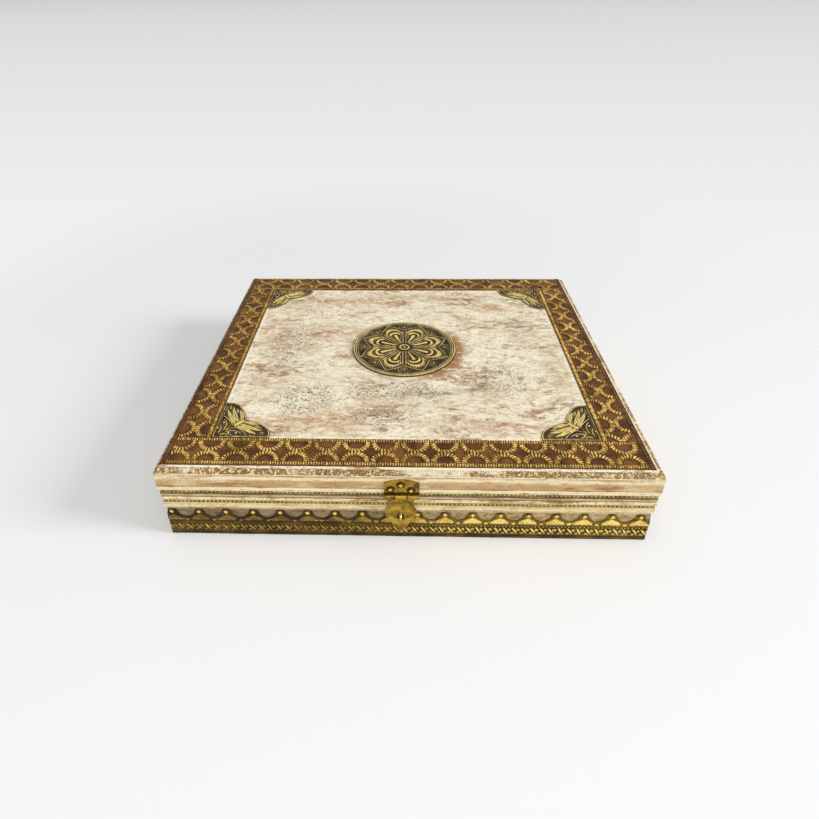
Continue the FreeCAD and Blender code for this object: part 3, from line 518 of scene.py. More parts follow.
def sheetBrass(name):
    # worn sheet metal with tarnish clouds and fine scratches
    plain, bright, tarnish = sheetLooks[name]
    material, shader, place = newMaterial(name)
    cloud = grain(place, (6, 6, 6), 6.0, 0.66, 0.4)
    fine = grain(place, (0.8, 0.8, 0.8), 5.0, 0.65)
    scratch = grain(place, (0.5, 9, 5), 4.0, 0.6)
    tint = layer(plain, bright, cloud, 0.42, 0.64)
    tint = layer(tint, tarnish, total(cloud, times(fine, 0.3)), 0.46, 0.64, 0.85, 0.0)
    tint = layer(tint, bright, scratch, 0.6, 0.72, 0.0, 0.4)
    if name == "haspBrass":
        tint = haspDirtAndShade(place, tint)
    connect(between(cloud, 0.3, 0.6, 0.6, 0.85), shader.inputs["Metallic"])
    relief = total(times(cloud, 0.8), times(scratch, 0.3))
    finishMaterial(shader, tint, between(fine, 0.25, 0.75, 0.28, 0.5), relief, 0.5)
    return material


tackLook = {
    "radius": 1.92,
    "spread": (0.93, 1.0),  # how much smaller some heads are
    "lean": 0.06,
    "dome": 1.25,
    "rings": 6,
    "around": 18,
    "shank": 0.5,
    "long": 3.0,
    "solidHead": 1.65,      # half width and dome of the solid tacks
    "solidDome": 1.25,
    "hasp": ((-3.2, 47.4), (-9.4, 43.9), (3.0, 43.1)),
}
materials = {
    "lidTop": paintedWood("paintedLidTop", 0, 1, "lid"),
    "paintX": paintedWood("paintedRailLong", 0, 3, "rail"),
    "paintY": paintedWood("paintedRailShort", 1, 5, "rail"),
    "innerX": innerWood("innerWoodLong", 0),
    "innerY": innerWood("innerWoodShort", 1),
    "strip": embossedBrass("stripBrass"),
    "band": embossedBrass("bandBrass"),
    "ornament": embossedBrass("ornamentBrass"),
    "ribbon": embossedBrass("ribbonBrass"),
    "hasp": sheetBrass("haspBrass"),
    "tack": embossedBrass("tackBrass"),
    "staple": sheetBrass("stapleBrass"),
    "pin": sheetBrass("pinMetal"),
}
print("materials made")


def newPiece(name, node, points, faces, tones, finish, body, turn=0.0, sharp=60):
    # in place of the solid node; points are in mm, turned about the box's upright axis
    mesh = bpy.data.meshes.new(name)
    spots = np.asarray(points, dtype=float)
    angle = math.radians(turn)
    turned = spots.copy()
    turned[:, 0] = spots[:, 0] * math.cos(angle) - spots[:, 1] * math.sin(angle)
    turned[:, 1] = spots[:, 0] * math.sin(angle) + spots[:, 1] * math.cos(angle)
    mesh.from_pydata((turned * mm).tolist(), [], faces)
    mesh.shade_smooth()
    mesh.set_sharp_from_angle(angle=math.radians(sharp))
    attribute = mesh.attributes.new("tone", "FLOAT", "POINT")
    attribute.data.foreach_set("value", np.asarray(tones, dtype=np.float32))
    mesh.materials.append(materials[finish])
    piece = bpy.data.objects.new(name, mesh)
    scene.collection.objects.link(piece)
    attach(piece, body)
    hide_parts(node)


def quads(*corners):
    # four-sided faces, from the numbers of their first, second, third and fourth corners
    return np.stack(corners, -1).reshape(-1, 4).tolist()


def sheetFaces(rows, columns):
    # a grid of points with a skirt down to a flat back
    index = np.arange(rows * columns).reshape(rows, columns)
    rim = np.concatenate([index[0, :], index[1:, -1], index[-1, -2::-1], index[-2:0:-1, 0]])
    below = np.arange(len(rim)) + rows * columns
    faces = quads(index[:-1, :-1], index[:-1, 1:], index[1:, 1:], index[1:, :-1])
    faces += quads(np.roll(rim, -1), rim, below, np.roll(below, -1))
    return faces + [below[::-1].tolist()], rim


def reliefSheet(name, node, spread, relief, lay, finish, body, turn, thick):
    # spread gives the pattern's plane coordinates, relief its height and tone, lay sets it in the box
    across, upward = spread
    height, tone = relief(across, upward)
    rows, columns = across.shape
    faces, rim = sheetFaces(rows, columns)
    front = lay(across.ravel(), upward.ravel(), height.ravel() + thick)
    back = lay(across.ravel()[rim], upward.ravel()[rim], np.zeros(len(rim)))
    tones = np.concatenate([tone.ravel(), np.zeros(len(rim))])
    newPiece(name, node, np.concatenate([front, back]), faces, tones, finish, body, turn)


def standing(faceDepth):
    # on an upright side: across, height above the floor, out of the face
    return lambda across, upward, out: np.stack([across, -(faceDepth + out), upward], -1)


def dome(value):
    # round-topped profile of a value that is 0 on the middle line and 1 at the edge
    return np.sqrt(np.clip(1 - np.square(value), 0, 1))


def beads(place, pitch):
    return np.abs(np.cos(np.pi * place / pitch)) ** 0.8


def step(value, low, high):
    part = np.clip((value - low) / (high - low), 0, 1)
    return part * part * (3 - 2 * part)


def stamped(marks):
    # each mark is its shape from 0 to 1, its height and its tone
    height = np.maximum.reduce([shape * lift for shape, lift, tone in marks])
    tone = np.maximum.reduce([shape * tone for shape, lift, tone in marks])
    return height, tone


def stroke(x, y, points, wide, taper=0.8):
    # a rounded stroke through the points, widest at its middle
    points = np.array(points, float)
    lengths = np.hypot(*np.diff(points, axis=0).T)
    gone, best = 0.0, np.full_like(x, 9.0)
    for start, end, length in zip(points, points[1:], lengths):
        way = (end - start) / length
        along = np.clip((x - start[0]) * way[0] + (y - start[1]) * way[1], 0, length)
        away = np.hypot(x - start[0] - way[0] * along, y - start[1] - way[1] * along)
        part = (gone + along) / lengths.sum()
        half = wide * (1 - taper + taper * np.sin(np.clip(part, 0, 1) ** 0.8 * math.pi))
        best = np.minimum(best, away / half)
        gone += length
    return dome(best)


def unevenness(x, y, size, seed):
    # smooth unevenness of hand work, about -1 to 1
    draw = np.random.default_rng(seed)
    waves = np.zeros_like(x)
    for _ in range(9):
        heading = draw.uniform(0, 2 * math.pi)
        wave = draw.uniform(0.6, 1.6) / size
        along = x * math.cos(heading) + y * math.sin(heading)
        waves += np.sin(along * wave * 2 * math.pi + draw.uniform(0, 7))
    return waves / 4


def roughness(x, y, *waves):
    # each wave is its size, seed and depth
    return sum(unevenness(x, y, size, seed) * depth for size, seed, depth in waves)


def blotches(x, y, size, seed):
    return np.clip(unevenness(x, y, size, seed), -1, 1)


def wrapped(place, pitch):
    # distance from the nearest mark of a row
    return (place + pitch / 2) % pitch - pitch / 2


def outline(place, middle, half, height, tone, share=1):
    # a round-topped line, as one mark for stamped; share is how much of it stands where
    return dome((place - middle) / half) * share, height, tone


def oval(x, y, half):
    # a round-topped dot with two half sizes
    return dome(np.hypot(x / half[0], y / half[1]))


stripLook = {
    "mesh": 0.31,
    "thick": 0.25,
    "relief": 0.8,
    "pitch": 18.4,          # from one arch to the next
    "firstArch": {"front": 5.6, "right": 3.5, "back": 5.6, "left": 5.5},
    "archFoot": 3.9,        # where the arches stand, from the strip's edge
    "rope": 7.3,            # middle radius of an arch's rope of seeds
    "ropeHalf": 1.85,
    "seedPitch": 1.95,
    "patch": 4.75,          # rim of the half-round patch inside an arch
    "edgeRow": 1.9,         # the edge rows' middle, from the strip's edge
    "edgeHalf": 1.45,
    "edgePitch": 1.55,
    "border": 3.8,          # the plainer border down the outer edge of the side strips
    "borderPitch": 1.7,
    # painted shade: the back and left strips are darker, where less light falls
    "shine": {"front": 1.0, "right": 1.0, "back": 0.93, "left": 0.9},
}


def seedRow(place, across, half):
    # long seeds side by side, standing across the row
    seed = np.clip(beads(place, 1.0) * 1.5 - 0.3, 0, 1)
    return dome(across / half) ** 0.6 * (0.05 + 0.95 * seed)


def stripRelief(side, seed, wide, start, end, long):
    look = stripLook

    def relief(along, inward):
        # inward is measured from the strip's outer edge
        bend = unevenness(along, inward, 60, seed) * 0.3
        near = wrapped(along - look["firstArch"][side] + bend, look["pitch"])
        drift = unevenness(along, inward, 7, seed + 3) * 0.12
        shapes = []
        for fromEdge in (inward - look["archFoot"], wide - look["archFoot"] - inward):
            radius = np.hypot(near, fromEdge)
            off = radius - look["rope"] + drift
            turns = np.arctan2(fromEdge, near) * look["rope"] / look["seedPitch"] + off * 0.12
            shapes.append(seedRow(turns, off, look["ropeHalf"]) * (fromEdge > -0.3))
            shapes.append(dome((radius - look["patch"]) / 0.3) * 0.22 * (fromEdge > 0))
        for fromEdge in (inward, wide - inward):
            row = fromEdge - look["edgeRow"]
            shapes.append(seedRow((along + bend) / look["edgePitch"], row, look["edgeHalf"]))
            shapes.append(dome((fromEdge - 0.3) / 0.3) * 0.35)
        height = np.maximum.reduce(shapes)
        # the plainer border crosses the long strips' ends
        border = look["border"]
        tip = np.minimum(along - start, end - along) if long else inward
        run = inward if long else along
        leaf = dome((tip - border / 2) / 1.3) * (0.2 + 0.5 * beads(run + 0.5 * tip, look["borderPitch"]))
        height = np.where(tip < border, np.maximum(leaf * 0.75, dome((tip - 0.4) / 0.4) * 0.3), height)
        height = np.where(np.abs(tip - border) < 0.3, 0.0, height)
        worn = 0.98 + 0.24 * blotches(along, inward, 3.4, seed + 12)
        # painted shade on the back and left strips, by the side's shine
        tone = height * worn * (0.95 + 0.12 * blotches(along, inward, 30, seed + 15)) * look["shine"][side]
        rough = roughness(along, inward, (3.2, seed + 5, 0.05), (22, seed + 9, 0.06))
        return height * look["relief"] + rough + 0.1, tone

    return relief


def stripAt(side):
    look = stripLook
    turn = sides[side]
    long = side in ("front", "back")
    low, high = sizeOf("lid_strip_" + side)
    reach = (low.x, high.x) if long else (low.y, high.y)
    start, end = reach if side in ("front", "right") else (-reach[1], -reach[0])
    depths = sorted(abs(value) for value in ((low.y, high.y) if long else (low.x, high.x)))
    wide = depths[1] - depths[0]
    along = np.linspace(start, end, int((end - start) / look["mesh"]))
    inward = np.linspace(0, wide, int(wide / look["mesh"]))
    relief = stripRelief(side, 20 + turn, wide, start, end, long)
    lay = lambda across, upward, out: np.stack([across, -depths[1] + upward, low.z + out], -1)
    reliefSheet(
        "strip_" + side, "lid_strip_" + side, np.meshgrid(along, inward), relief, lay, "strip", "lid",
        turn, look["thick"],
    )


for side in sides:
    stripAt(side)
print("lid strips made")


bandLook = {
    "mesh": 0.36,
    "thick": 0.3,
    "relief": 0.8,
    "depth": 0.55,          # the sheet's back behind its face
    # upper edge: half width of a peak, lean of its sides, height of a scallop's sides and lowest point
    "peakHalf": 2.4,
    "flare": 1.4,
    "spring": 18.6,
    "foot": 15.6,
    "start": 3.5,           # first peak, from the band's left end
    "pitch": 17.2,
    # lower row: strokes with half width and taper, ring with place, height, radius and half width
    "archPitch": 5.75,
    "leaf": (((-2.0, 9.6), (-0.6, 7.6), (1.0, 5.2)), 0.75, 0.6),
    "leaflet": (((-0.9, 5.9), (-1.7, 5.0), (-2.5, 5.6)), 0.5, 0.3),
    "ring": (1.7, 7.9, 0.75, 0.4),
    "dots": {"pitch": 2.3, "height": 10.7, "half": (0.6, 0.5)},
    "boss": {"height": 13.4, "half": (1.6, 1.0)},
    # level lines: height, half height, lift and tone
    "lines": {
        "foot": (2.0, 0.5, 0.5, 0.34), "low": (4.3, 0.35, 0.5, 0.8), "middle": (12.2, 0.35, 0.4, 0.52),
        "high": (14.1, 0.45, 0.6, 0.85),
    },
    # mound under each tack: foot and rise of its crown, half width, lowest point
    "mound": {"foot": 13.8, "rise": 4.9, "half": 6.8, "low": 12.9},
    # where painted light along the band grows from its dull left to its bright right
    "brightFrom": (-50, 60),
}


def bandTop(near, pitch, peak):
    # the band's upper edge: peaks under the tacks and round-bottomed scallops between them
    look = bandLook
    fromMiddle = pitch / 2 - np.abs(near)
    half = pitch / 2 - look["peakHalf"]
    inner = half - look["flare"]
    cup = look["foot"] + (look["spring"] - look["foot"]) * np.clip(fromMiddle / inner, 0, 1) ** 2.2
    flank = look["spring"] + (peak - look["spring"]) * step(fromMiddle, inner, half)
    return np.where(fromMiddle < inner, cup, flank)


def bandPattern(nail, edge, along, upward, seed):
    # nail is the distance from the nearest tack, edge the distance below the upper edge
    look = bandLook
    dots, boss, mound = look["dots"], look["boss"], look["mound"]
    aside = np.abs(nail)
    # lower row: slanting leaves with a small ring in each gap, on a dark ground
    place = along + unevenness(along, upward, 9, 55 + seed) * 0.35
    near = wrapped(place, look["archPitch"])
    ringPlace, ringHeight, ringRadius, ringHalf = look["ring"]
    ring = np.hypot(near - ringPlace, upward - ringHeight) - ringRadius
    dot = oval(place % dots["pitch"] - dots["pitch"] / 2, upward - dots["height"], dots["half"])
    # middle ground: fine dots between thin ribs, and a bead in the middle of each gap
    stipple = beads(along + upward * 0.8, 1.35) * beads(upward - along * 0.4, 1.25)
    broken = step(unevenness(along, upward, 12, 58 + seed), -0.2, 0.5)
    bead = oval(aside - look["pitch"] / 2, upward - boss["height"], boss["half"])
    # smooth mound under each tack, up to the scallops' beaded edge
    crown = mound["foot"] + mound["rise"] * np.clip(1 - aside / mound["half"], 0, 1) ** 0.72
    mounds = step(edge, 0.5, 1.1) * step(crown - upward, -0.3, 0.7)
    mounds *= step(upward, mound["low"], mound["low"] + 0.6) * step(mound["half"] - 0.2 - aside, 0, 1.4)
    mounds *= 0.92 + 0.1 * unevenness(along, upward, 2.6, 62 + seed)
    # painted light along the band: 0 at the left end, 1 at the right, also brightening the mounds
    lit = step(along, *look["brightFrom"])
    carved = {"low": beads(along, 1.15), "middle": 0.6 + 0.4 * beads(along, 1.6), "high": broken}
    height, tone = stamped([
        (stroke(near, upward, *look["leaf"]), 1.0, 1.0),
        (stroke(near, upward, *look["leaflet"]), 0.7, 0.9),
        outline(ring, 0, ringHalf, 0.7, 0.88),
        (dot, 0.6, 0.86),
        (stipple * (upward > 11.4), 0.35, 0.58),
        (dome(nail / 2.6) * (upward > look["spring"]), 0.2, 0.5),
        (bead, 0.8, 0.8),
        (mounds * (0.85 + 0.15 * stipple), 1.0, 0.68 + 0.22 * lit),
        outline(edge, 0.3, 0.35, 0.5, 0.5, beads(along, 1.2) * (upward > 12)),
    ] + [outline(upward, *line, carved.get(key, 1)) for key, line in look["lines"].items()])
    rough = roughness(along, upward, (4.0, 60 + seed, 0.05), (26, 70 + seed, 0.08))
    # painted light: darker towards the left end and brighter towards the right, where the light falls
    tone *= 0.74 + 0.48 * lit + 0.1 * blotches(along, upward, 14, 80 + seed)
    return height * look["relief"] + rough + 0.1, tone


def upright(node, side):
    # a sheet on the box's side: half its length, lowest and highest point, how far out its face is
    low, high = sizeOf(node)
    across, out = ("x", "y") if side in ("front", "back") else ("y", "x")
    return getattr(high, across), low.z, high.z, max(abs(getattr(low, out)), abs(getattr(high, out)))


def bandAt(side):
    look = bandLook
    turn = sides[side]
    half, foot, peak, face = upright("base_band_" + side, side)
    pitch = look["pitch"]
    gaps = int((2 * half - look["start"] - look["peakHalf"]) / pitch)

    def nearestNail(along):
        # how far the nearest nail is, and past the last nail the distance from that one
        place = along + half - look["start"]
        return place - np.clip(np.round(place / pitch), 0, gaps) * pitch

    def relief(along, upward):
        nail = nearestNail(along)
        return bandPattern(nail, bandTop(nail, pitch, peak) - upward, along, upward, turn)

    columns = np.linspace(-half, half, int(2 * half / look["mesh"]))
    top = bandTop(nearestNail(columns), pitch, peak)
    rows = np.linspace(0, 1, int(peak / look["mesh"]))
    spread = (np.tile(columns, (len(rows), 1)), foot + rows[:, None] * (top - foot)[None, :])
    reliefSheet(
        "band_" + side, "base_band_" + side, spread, relief, standing(face - look["depth"]), "band", "base",
        turn, look["thick"],
    )
    return [-half + look["start"] + pitch * number for number in range(gaps + 1)], face


def tackHead(across, upward, seat, draw):
    # rings of points from the foot of the dome to its top, with their tone: painted shade at the foot rising
    # to a painted highlight on top
    look = tackLook
    radius = look["radius"] * draw.uniform(*look["spread"])
    lean = draw.uniform(-look["lean"], look["lean"], 2)
    points, tones = [], []
    for ring in range(look["rings"]):
        angle = ring / look["rings"] * math.pi / 2
        reach, lift = radius * math.cos(angle), look["dome"] * math.sin(angle)
        for spoke in range(look["around"]):
            turn = 2 * math.pi * spoke / look["around"]
            x, z = reach * math.cos(turn), reach * math.sin(turn)
            out = seat + lift + (x * lean[0] + z * lean[1]) * (ring > 0)
            points.append((across + x, -out, upward + z))
            # painted shade round the foot of the head, painted highlight on its top
            tones.append(0.05 + 1.05 * math.sin(angle) ** 2)
    return points + [(across, -(seat + look["dome"]), upward)], tones + [1.1]


def tackFaces(start):
    # the dome's rings, its top and its flat foot, for points that begin at start
    rings, count = tackLook["rings"], tackLook["around"]
    faces = []
    for ring in range(rings):
        for spoke in range(count):
            a, b = (start + ring * count + place % count for place in (spoke, spoke + 1))
            faces.append((a, b, b + count, a + count) if ring < rings - 1 else (a, b, start + rings * count))
    return faces + [tuple(start + spoke for spoke in reversed(range(count)))]


def tackMesh(spots, seat):
    # domed heads on square shanks, at places along a side and heights above the floor
    look = tackLook
    draw = np.random.default_rng(7)
    half = look["shank"] / 2
    points, faces, tones = [], [], []
    for across, upward in spots:
        faces += tackFaces(len(points))
        head, paintedShading = tackHead(across, upward, seat, draw)
        points += head
        tones += paintedShading
        foot = len(points)
        for level in (seat - 0.02, seat - look["long"]):
            for x, z in ((-half, -half), (half, -half), (half, half), (-half, half)):
                points.append((across + x, -level, upward + z))
                tones.append(0.5)
        for edge in range(4):
            a, b = foot + edge, foot + (edge + 1) % 4
            faces.append((a, a + 4, b + 4, b))
        faces += [tuple(foot + k for k in range(4)), tuple(foot + k for k in (7, 6, 5, 4))]
    return points, faces, tones


def platedTacks(name, node, spots, seat, body, turn=0, shine=1.0):
    points, faces, tones = tackMesh(spots, seat)
    tones = [tone * shine for tone in tones]
    newPiece(name, node, points, faces, tones, "tack", body, turn, sharp=50)


def sheetTacks():
    # the tacks of the hasp's plate and of the hinge leaves, at the places of the solid ones
    look = tackLook
    seat = -sizeOf("hasp_nails")[0].y - look["solidDome"]
    platedTacks("hasp_tacks", "hasp_nails", look["hasp"], seat, "lid", shine=0.84)
    for body in ("lid", "base"):
        low, high = sizeOf("hinge_nails_" + body)
        level = (low.z + high.z) / 2
        middle = sum(corner.x for corner in sizeOf("hinge_right_%s_leaf" % body)) / 2
        reach = high.x - look["solidHead"] - middle
        spots = [(sign * middle + way * reach, level) for sign in (-1, 1) for way in (-1, 1)]
        seat = high.y - look["solidDome"]
        platedTacks("hinge_tacks_" + body, "hinge_nails_" + body, spots, seat, body, 180)


for side in sides:
    places, face = bandAt(side)
    level = sum(corner.z for corner in sizeOf("band_nails_" + side)) / 2
    spots = [(place, level) for place in places]
    platedTacks("tacks_" + side, "band_nails_" + side, spots, face, "base", sides[side])
sheetTacks()
print("base bands and tacks made")


medallionLook = {
    "petals": 8,
    "rings": 136,
    "spokes": 780,
    "relief": 0.85,
    "tip": 35.8,            # the star line's points
    "valley": 27.0,
    "dots": 31.8,
    "field": 36.2,          # outer edge of the curls between the star's points
    # petals: where they end beside each other, how far they swell, thickness and its loss to the side
    "petalEnd": 20.0,
    "petalSwell": 11.6,
    "petalThick": (4.8, 2.4),
    # plain circles: radius, half width, height and tone
    "circles": (
        (0, 1.1, 0.9, 1.0), (3.5, 0.8, 0.7, 0.9), (5.7, 0.35, 0.3, 0.45), (36.9, 0.4, 0.45, 0.62),
        (38.3, 0.5, 0.55, 0.78),
    ),
}


def starLine(along, aside, off, share):
    # distance from a line that runs straight from a petal's tip to the valley beside it
    look = medallionLook
    fall = look["tip"] - look["valley"] * math.cos(share / 2)
    spread = look["valley"] * math.sin(share / 2)
    away = ((along - look["tip"]) * spread + aside * fall) / math.hypot(fall, spread)
    return away - 0.5 * np.sin(off * math.pi)


def medallionRelief(x, y):
    look = medallionLook
    radius = np.hypot(x, y)
    angle = np.arctan2(y, x)
    share = 2 * math.pi / look["petals"]
    signed = (angle % share) - share / 2            # 0 on a petal's middle line
    off = np.abs(signed) / (share / 2)              # 1 between two petals
    along = radius * np.cos(signed)
    aside = radius * np.abs(np.sin(signed))
    fromValley = radius * np.sin(share / 2 - np.abs(signed))
    inValley = radius * np.cos(share / 2 - np.abs(signed))
    star = starLine(along, aside, off, share)
    # the petal's rim, hatched on its outside, and the drop inside it
    body = look["petalEnd"] + look["petalSwell"] * np.clip(1 - off ** 1.8, 0, 1)
    foot = body - look["petalThick"][0] + look["petalThick"][1] * off
    leaf = dome((radius - (body + foot) / 2) / np.maximum((body - foot) / 2, 0.3)) ** 0.7 * (off < 0.86)
    hatch = step(radius - body, -3.4, -1.2) * (1 - beads(angle * 29, 1.75) ** 2)
    bow = dome((np.hypot(along - 18.6, aside) - 4.7) / 1.05) * (along > 19.2) * (aside < 4.4)
    drop = dome(aside / np.clip(0.35 + (along - 7) * 0.095, 0.2, 1.6))
    drop *= step(along, 6.5, 8) * step(20.6 - along, 0, 1.2)
    # curls round a dot in each valley, outside the star line
    field = (star > 0.8) * (radius < look["field"])
    fromDot = np.hypot(inValley - look["dots"], fromValley)
    curl = dome((fromDot - 2.5) / 0.45) + dome((fromDot - 4.6) / 0.45) * (radius > 28.6)
    ticks = (1 - beads(angle * 34.5, 1.25)) * dome((radius - 34.9) / 1.5)
    height, tone = stamped([
        outline(star, 0, 0.5, 0.6, 0.7),
        outline(star, -1.7, 0.4, 0.35, 0.52, off < 0.9),
        (leaf * (1 - 0.75 * hatch), 0.9, 1.0),
        (bow, 0.9, 1.1),
        outline(radius - foot, -1.3, 0.4, 0.35, 0.5, off < 0.75),
        (drop, 0.9, 1.05),
        outline(fromValley, 1.2, 0.5, 0.75, 0.72, (radius > 6.4) & (radius < 25.5)),
        outline(fromValley, 2.9, 0.4, 0.5, 0.6, (radius > 12) & (radius < 23)),
        outline(fromDot, 0, 1.0, 0.8, 0.95),
        (np.clip(curl, 0, 1) * field * (off > 0.35), 0.4, 0.56),
        (ticks * field, 0.3, 0.55),
        outline(radius, 39.9, 0.7, 0.7, 0.7 + 0.25 * beads(angle * 39.7, 3.1)),
    ] + [outline(radius, *circle) for circle in look["circles"]])
    rough = roughness(x, y, (3.5, 90, 0.04), (20, 91, 0.05))
    tone *= 0.86 + 0.14 * blotches(x, y, 9, 92)
    return height * look["relief"] + rough * (radius > 1) + 0.1, tone


def medallionPiece():
    look = medallionLook
    low, high = sizeOf("lid_medallion")
    middle = (low + high) / 2
    radius = np.linspace(0.3, (high.x - low.x) / 2, look["rings"])
    angle = np.linspace(0, 2 * math.pi, look["spokes"], endpoint=False)
    ring, spoke = np.meshgrid(radius, angle, indexing="ij")
    x, y = ring * np.cos(spoke), ring * np.sin(spoke)
    height, tone = medallionRelief(x, y)
    height[-1] = 0.05
    rows, columns = x.shape
    index = np.arange(rows * columns).reshape(rows, columns)
    following = np.roll(index, -1, axis=1)
    back = np.arange(columns) + rows * columns
    faces = quads(index[:-1], index[1:], following[1:], following[:-1]) + [index[0].tolist()]
    faces += quads(index[-1], back, np.roll(back, -1), following[-1]) + [back[::-1].tolist()]
    top = np.stack([x.ravel() + middle.x, y.ravel() + middle.y, low.z + 0.45 + height.ravel()], -1)
    under = np.stack([x[-1] + middle.x, y[-1] + middle.y, np.full(columns, low.z)], -1)
    tones = np.concatenate([tone.ravel(), np.zeros(columns)])
    points = np.concatenate([top, under])
    newPiece("medallion", "lid_medallion", points, faces, tones, "ornament", "lid")


medallionPiece()
print("medallion made")


ornamentLook = {
    # angle from the leg along the front, in degrees, and reach from the corner, in mm
    "edge": (
        (0, 37.2), (8, 37.4), (15, 36.4), (26, 32.4), (37, 28.8), (43, 27.0),
        (47, 27.0), (53, 28.8), (64, 32.4), (75, 36.4), (82, 37.4), (90, 37.2),
    ),
    "rows": 112,
    "columns": 190,
    "thick": 0.3,
    "relief": 0.7,
    # leaves of one lobe: line through the leaf, half width, height and tone
    "leaves": (
        (((13.8, 11.8), (19.3, 8.9), (23.8, 5.9), (28.2, 3.8)), 1.6, 0.9, 1.15),
        (((16.0, 13.4), (21.3, 10.9), (26.3, 8.4), (31.6, 6.9)), 1.45, 0.9, 1.1),
        (((17.4, 15.8), (21.2, 15.3), (25.4, 13.8), (28.6, 11.8)), 1.4, 0.7, 0.98),
        (((25.0, 11.4), (28.4, 10.3), (31.6, 9.4)), 0.8, 0.6, 0.86),
        (((28.6, 5.7), (32.0, 4.7), (34.6, 4.6)), 0.8, 0.5, 0.8),
    ),
    # thin curved lines of one lobe: line, half width, tone
    "lines": (
        (((12.4, 10.8), (15.4, 9.3), (18.2, 6.9), (20.0, 5.2), (22.3, 2.4)), 0.45, 0.9),
        (((7.8, 6.0), (10.4, 6.7), (13.8, 6.6), (16.8, 5.4), (18.4, 3.8)), 0.42, 0.84),
        (((4.9, 3.2), (7.4, 3.9), (9.9, 3.8), (12.4, 2.6)), 0.42, 0.84),
        (((7.6, 7.4), (9.6, 8.9), (12.0, 9.4)), 0.38, 0.7),
        (((16.0, 17.2), (19.6, 17.9), (23.6, 16.8), (26.2, 14.8)), 0.38, 0.62),
        (((14.9, 12.6), (20.3, 9.9), (25.1, 7.1), (29.8, 5.2)), 0.3, 0.5),
        (((16.8, 14.6), (21.4, 13.1), (26.2, 10.9), (30.8, 10.0)), 0.3, 0.5),
        (((26.6, 2.6), (30.0, 3.0), (33.4, 2.8)), 0.35, 0.6),
    ),
    "dots": ((14.9, 4.5, 0.9), (9.3, 1.8, 0.6), (4.9, 9.9, 0.8), (24.6, 2.2, 0.5)),
}


def ornamentRelief(x, y):
    # x and y run in from the corner along the two straight edges; the two lobes mirror each other
    look = ornamentLook
    radius = np.hypot(x, y)
    angle = np.degrees(np.arctan2(y, x))
    rimmed = np.interp(angle, *zip(*look["edge"])) - radius
    long, short = np.maximum(x, y), np.minimum(x, y)
    fold = np.abs(x - y) / math.sqrt(2)
    diagonal = (x + y) / math.sqrt(2)
    spear = dome(fold / 1.35) * step(diagonal, 16.4, 17.2) * step(25.2 - diagonal, 0, 1.0)
    ticks = (1 - beads(angle * 0.55, 1.3)) * dome((rimmed - 3.0) / 1.3) * (short > 3.4)
    marks = [
        outline(rimmed, 0.8, 0.55, 0.75, 0.78),
        outline(rimmed, 4.7, 0.35, 0.35, 0.5, short > 4.4),
        (ticks, 0.35, 0.6),
        outline(short, 0.8, 0.5, 0.7, 0.68),
        outline(short, 2.0, 0.35, 0.4, 0.5 - 0.1 * (radius < 9)),
        (spear * (0.75 + 0.25 * beads(diagonal, 1.5)), 1.0, 1.15),
        outline(fold, 2.3, 0.35, 0.4, 0.55, (diagonal > 15) & (diagonal < 25.5)),
    ]
    for points, wide, lift, tone in look["leaves"]:
        vein = stroke(long, short, points, 0.34, 0.3)
        marks.append((stroke(long, short, points, wide) ** 0.6 * (1 - 0.5 * vein), lift, tone))
    marks += [(stroke(long, short, points, wide, 0.4), 0.55, tone) for points, wide, tone in look["lines"]]
    # a dot nearer the long edge has a twin in the other lobe, the others stand alone
    for u, v, size in look["dots"]:
        away = np.hypot(long - u, short - v) if u >= v else np.hypot(x - v, y - u)
        marks.append((dome(away / size), 1.0, 1.1))
    height, tone = stamped(marks)
    rough = roughness(x, y, (3.2, 110, 0.05), (18, 111, 0.05))
    tone *= 0.84 + 0.16 * blotches(x, y, 7, 112)
    return height * look["relief"] + rough + 0.1, tone


def ornamentAt(corner):
    look = ornamentLook
    low, high = sizeOf("lid_ornament_" + corner)
    cornerX, signX = (high.x, -1) if "right" in corner else (low.x, 1)
    cornerY, signY = (high.y, -1) if "back" in corner else (low.y, 1)
    angle = np.radians(np.linspace(0, 90, look["columns"]))
    reach = np.interp(np.degrees(angle), *zip(*look["edge"]))
    part = np.linspace(0.01, 1, look["rows"])
    x = part[:, None] * (reach * np.cos(angle))[None, :]
    y = part[:, None] * (reach * np.sin(angle))[None, :]
    if signX * signY < 0:
        x, y = x[:, ::-1], y[:, ::-1]

    def lay(across, inward, out):
        return np.stack([cornerX + signX * across, cornerY + signY * inward, low.z + out], -1)

    reliefSheet(
        "ornament_" + corner, "lid_ornament_" + corner, (x, y), ornamentRelief, lay, "ornament", "lid",
        0, look["thick"],
    )


for corner in ("front_right", "back_right", "back_left", "front_left"):
    ornamentAt(corner)
print("corner ornaments made")


ribbonLook = {
    "mesh": 0.34,
    "thick": 0.1,
    "depth": 0.55,
    "pitch": 2.6,
    "seed": (0.95, 0.6),
}


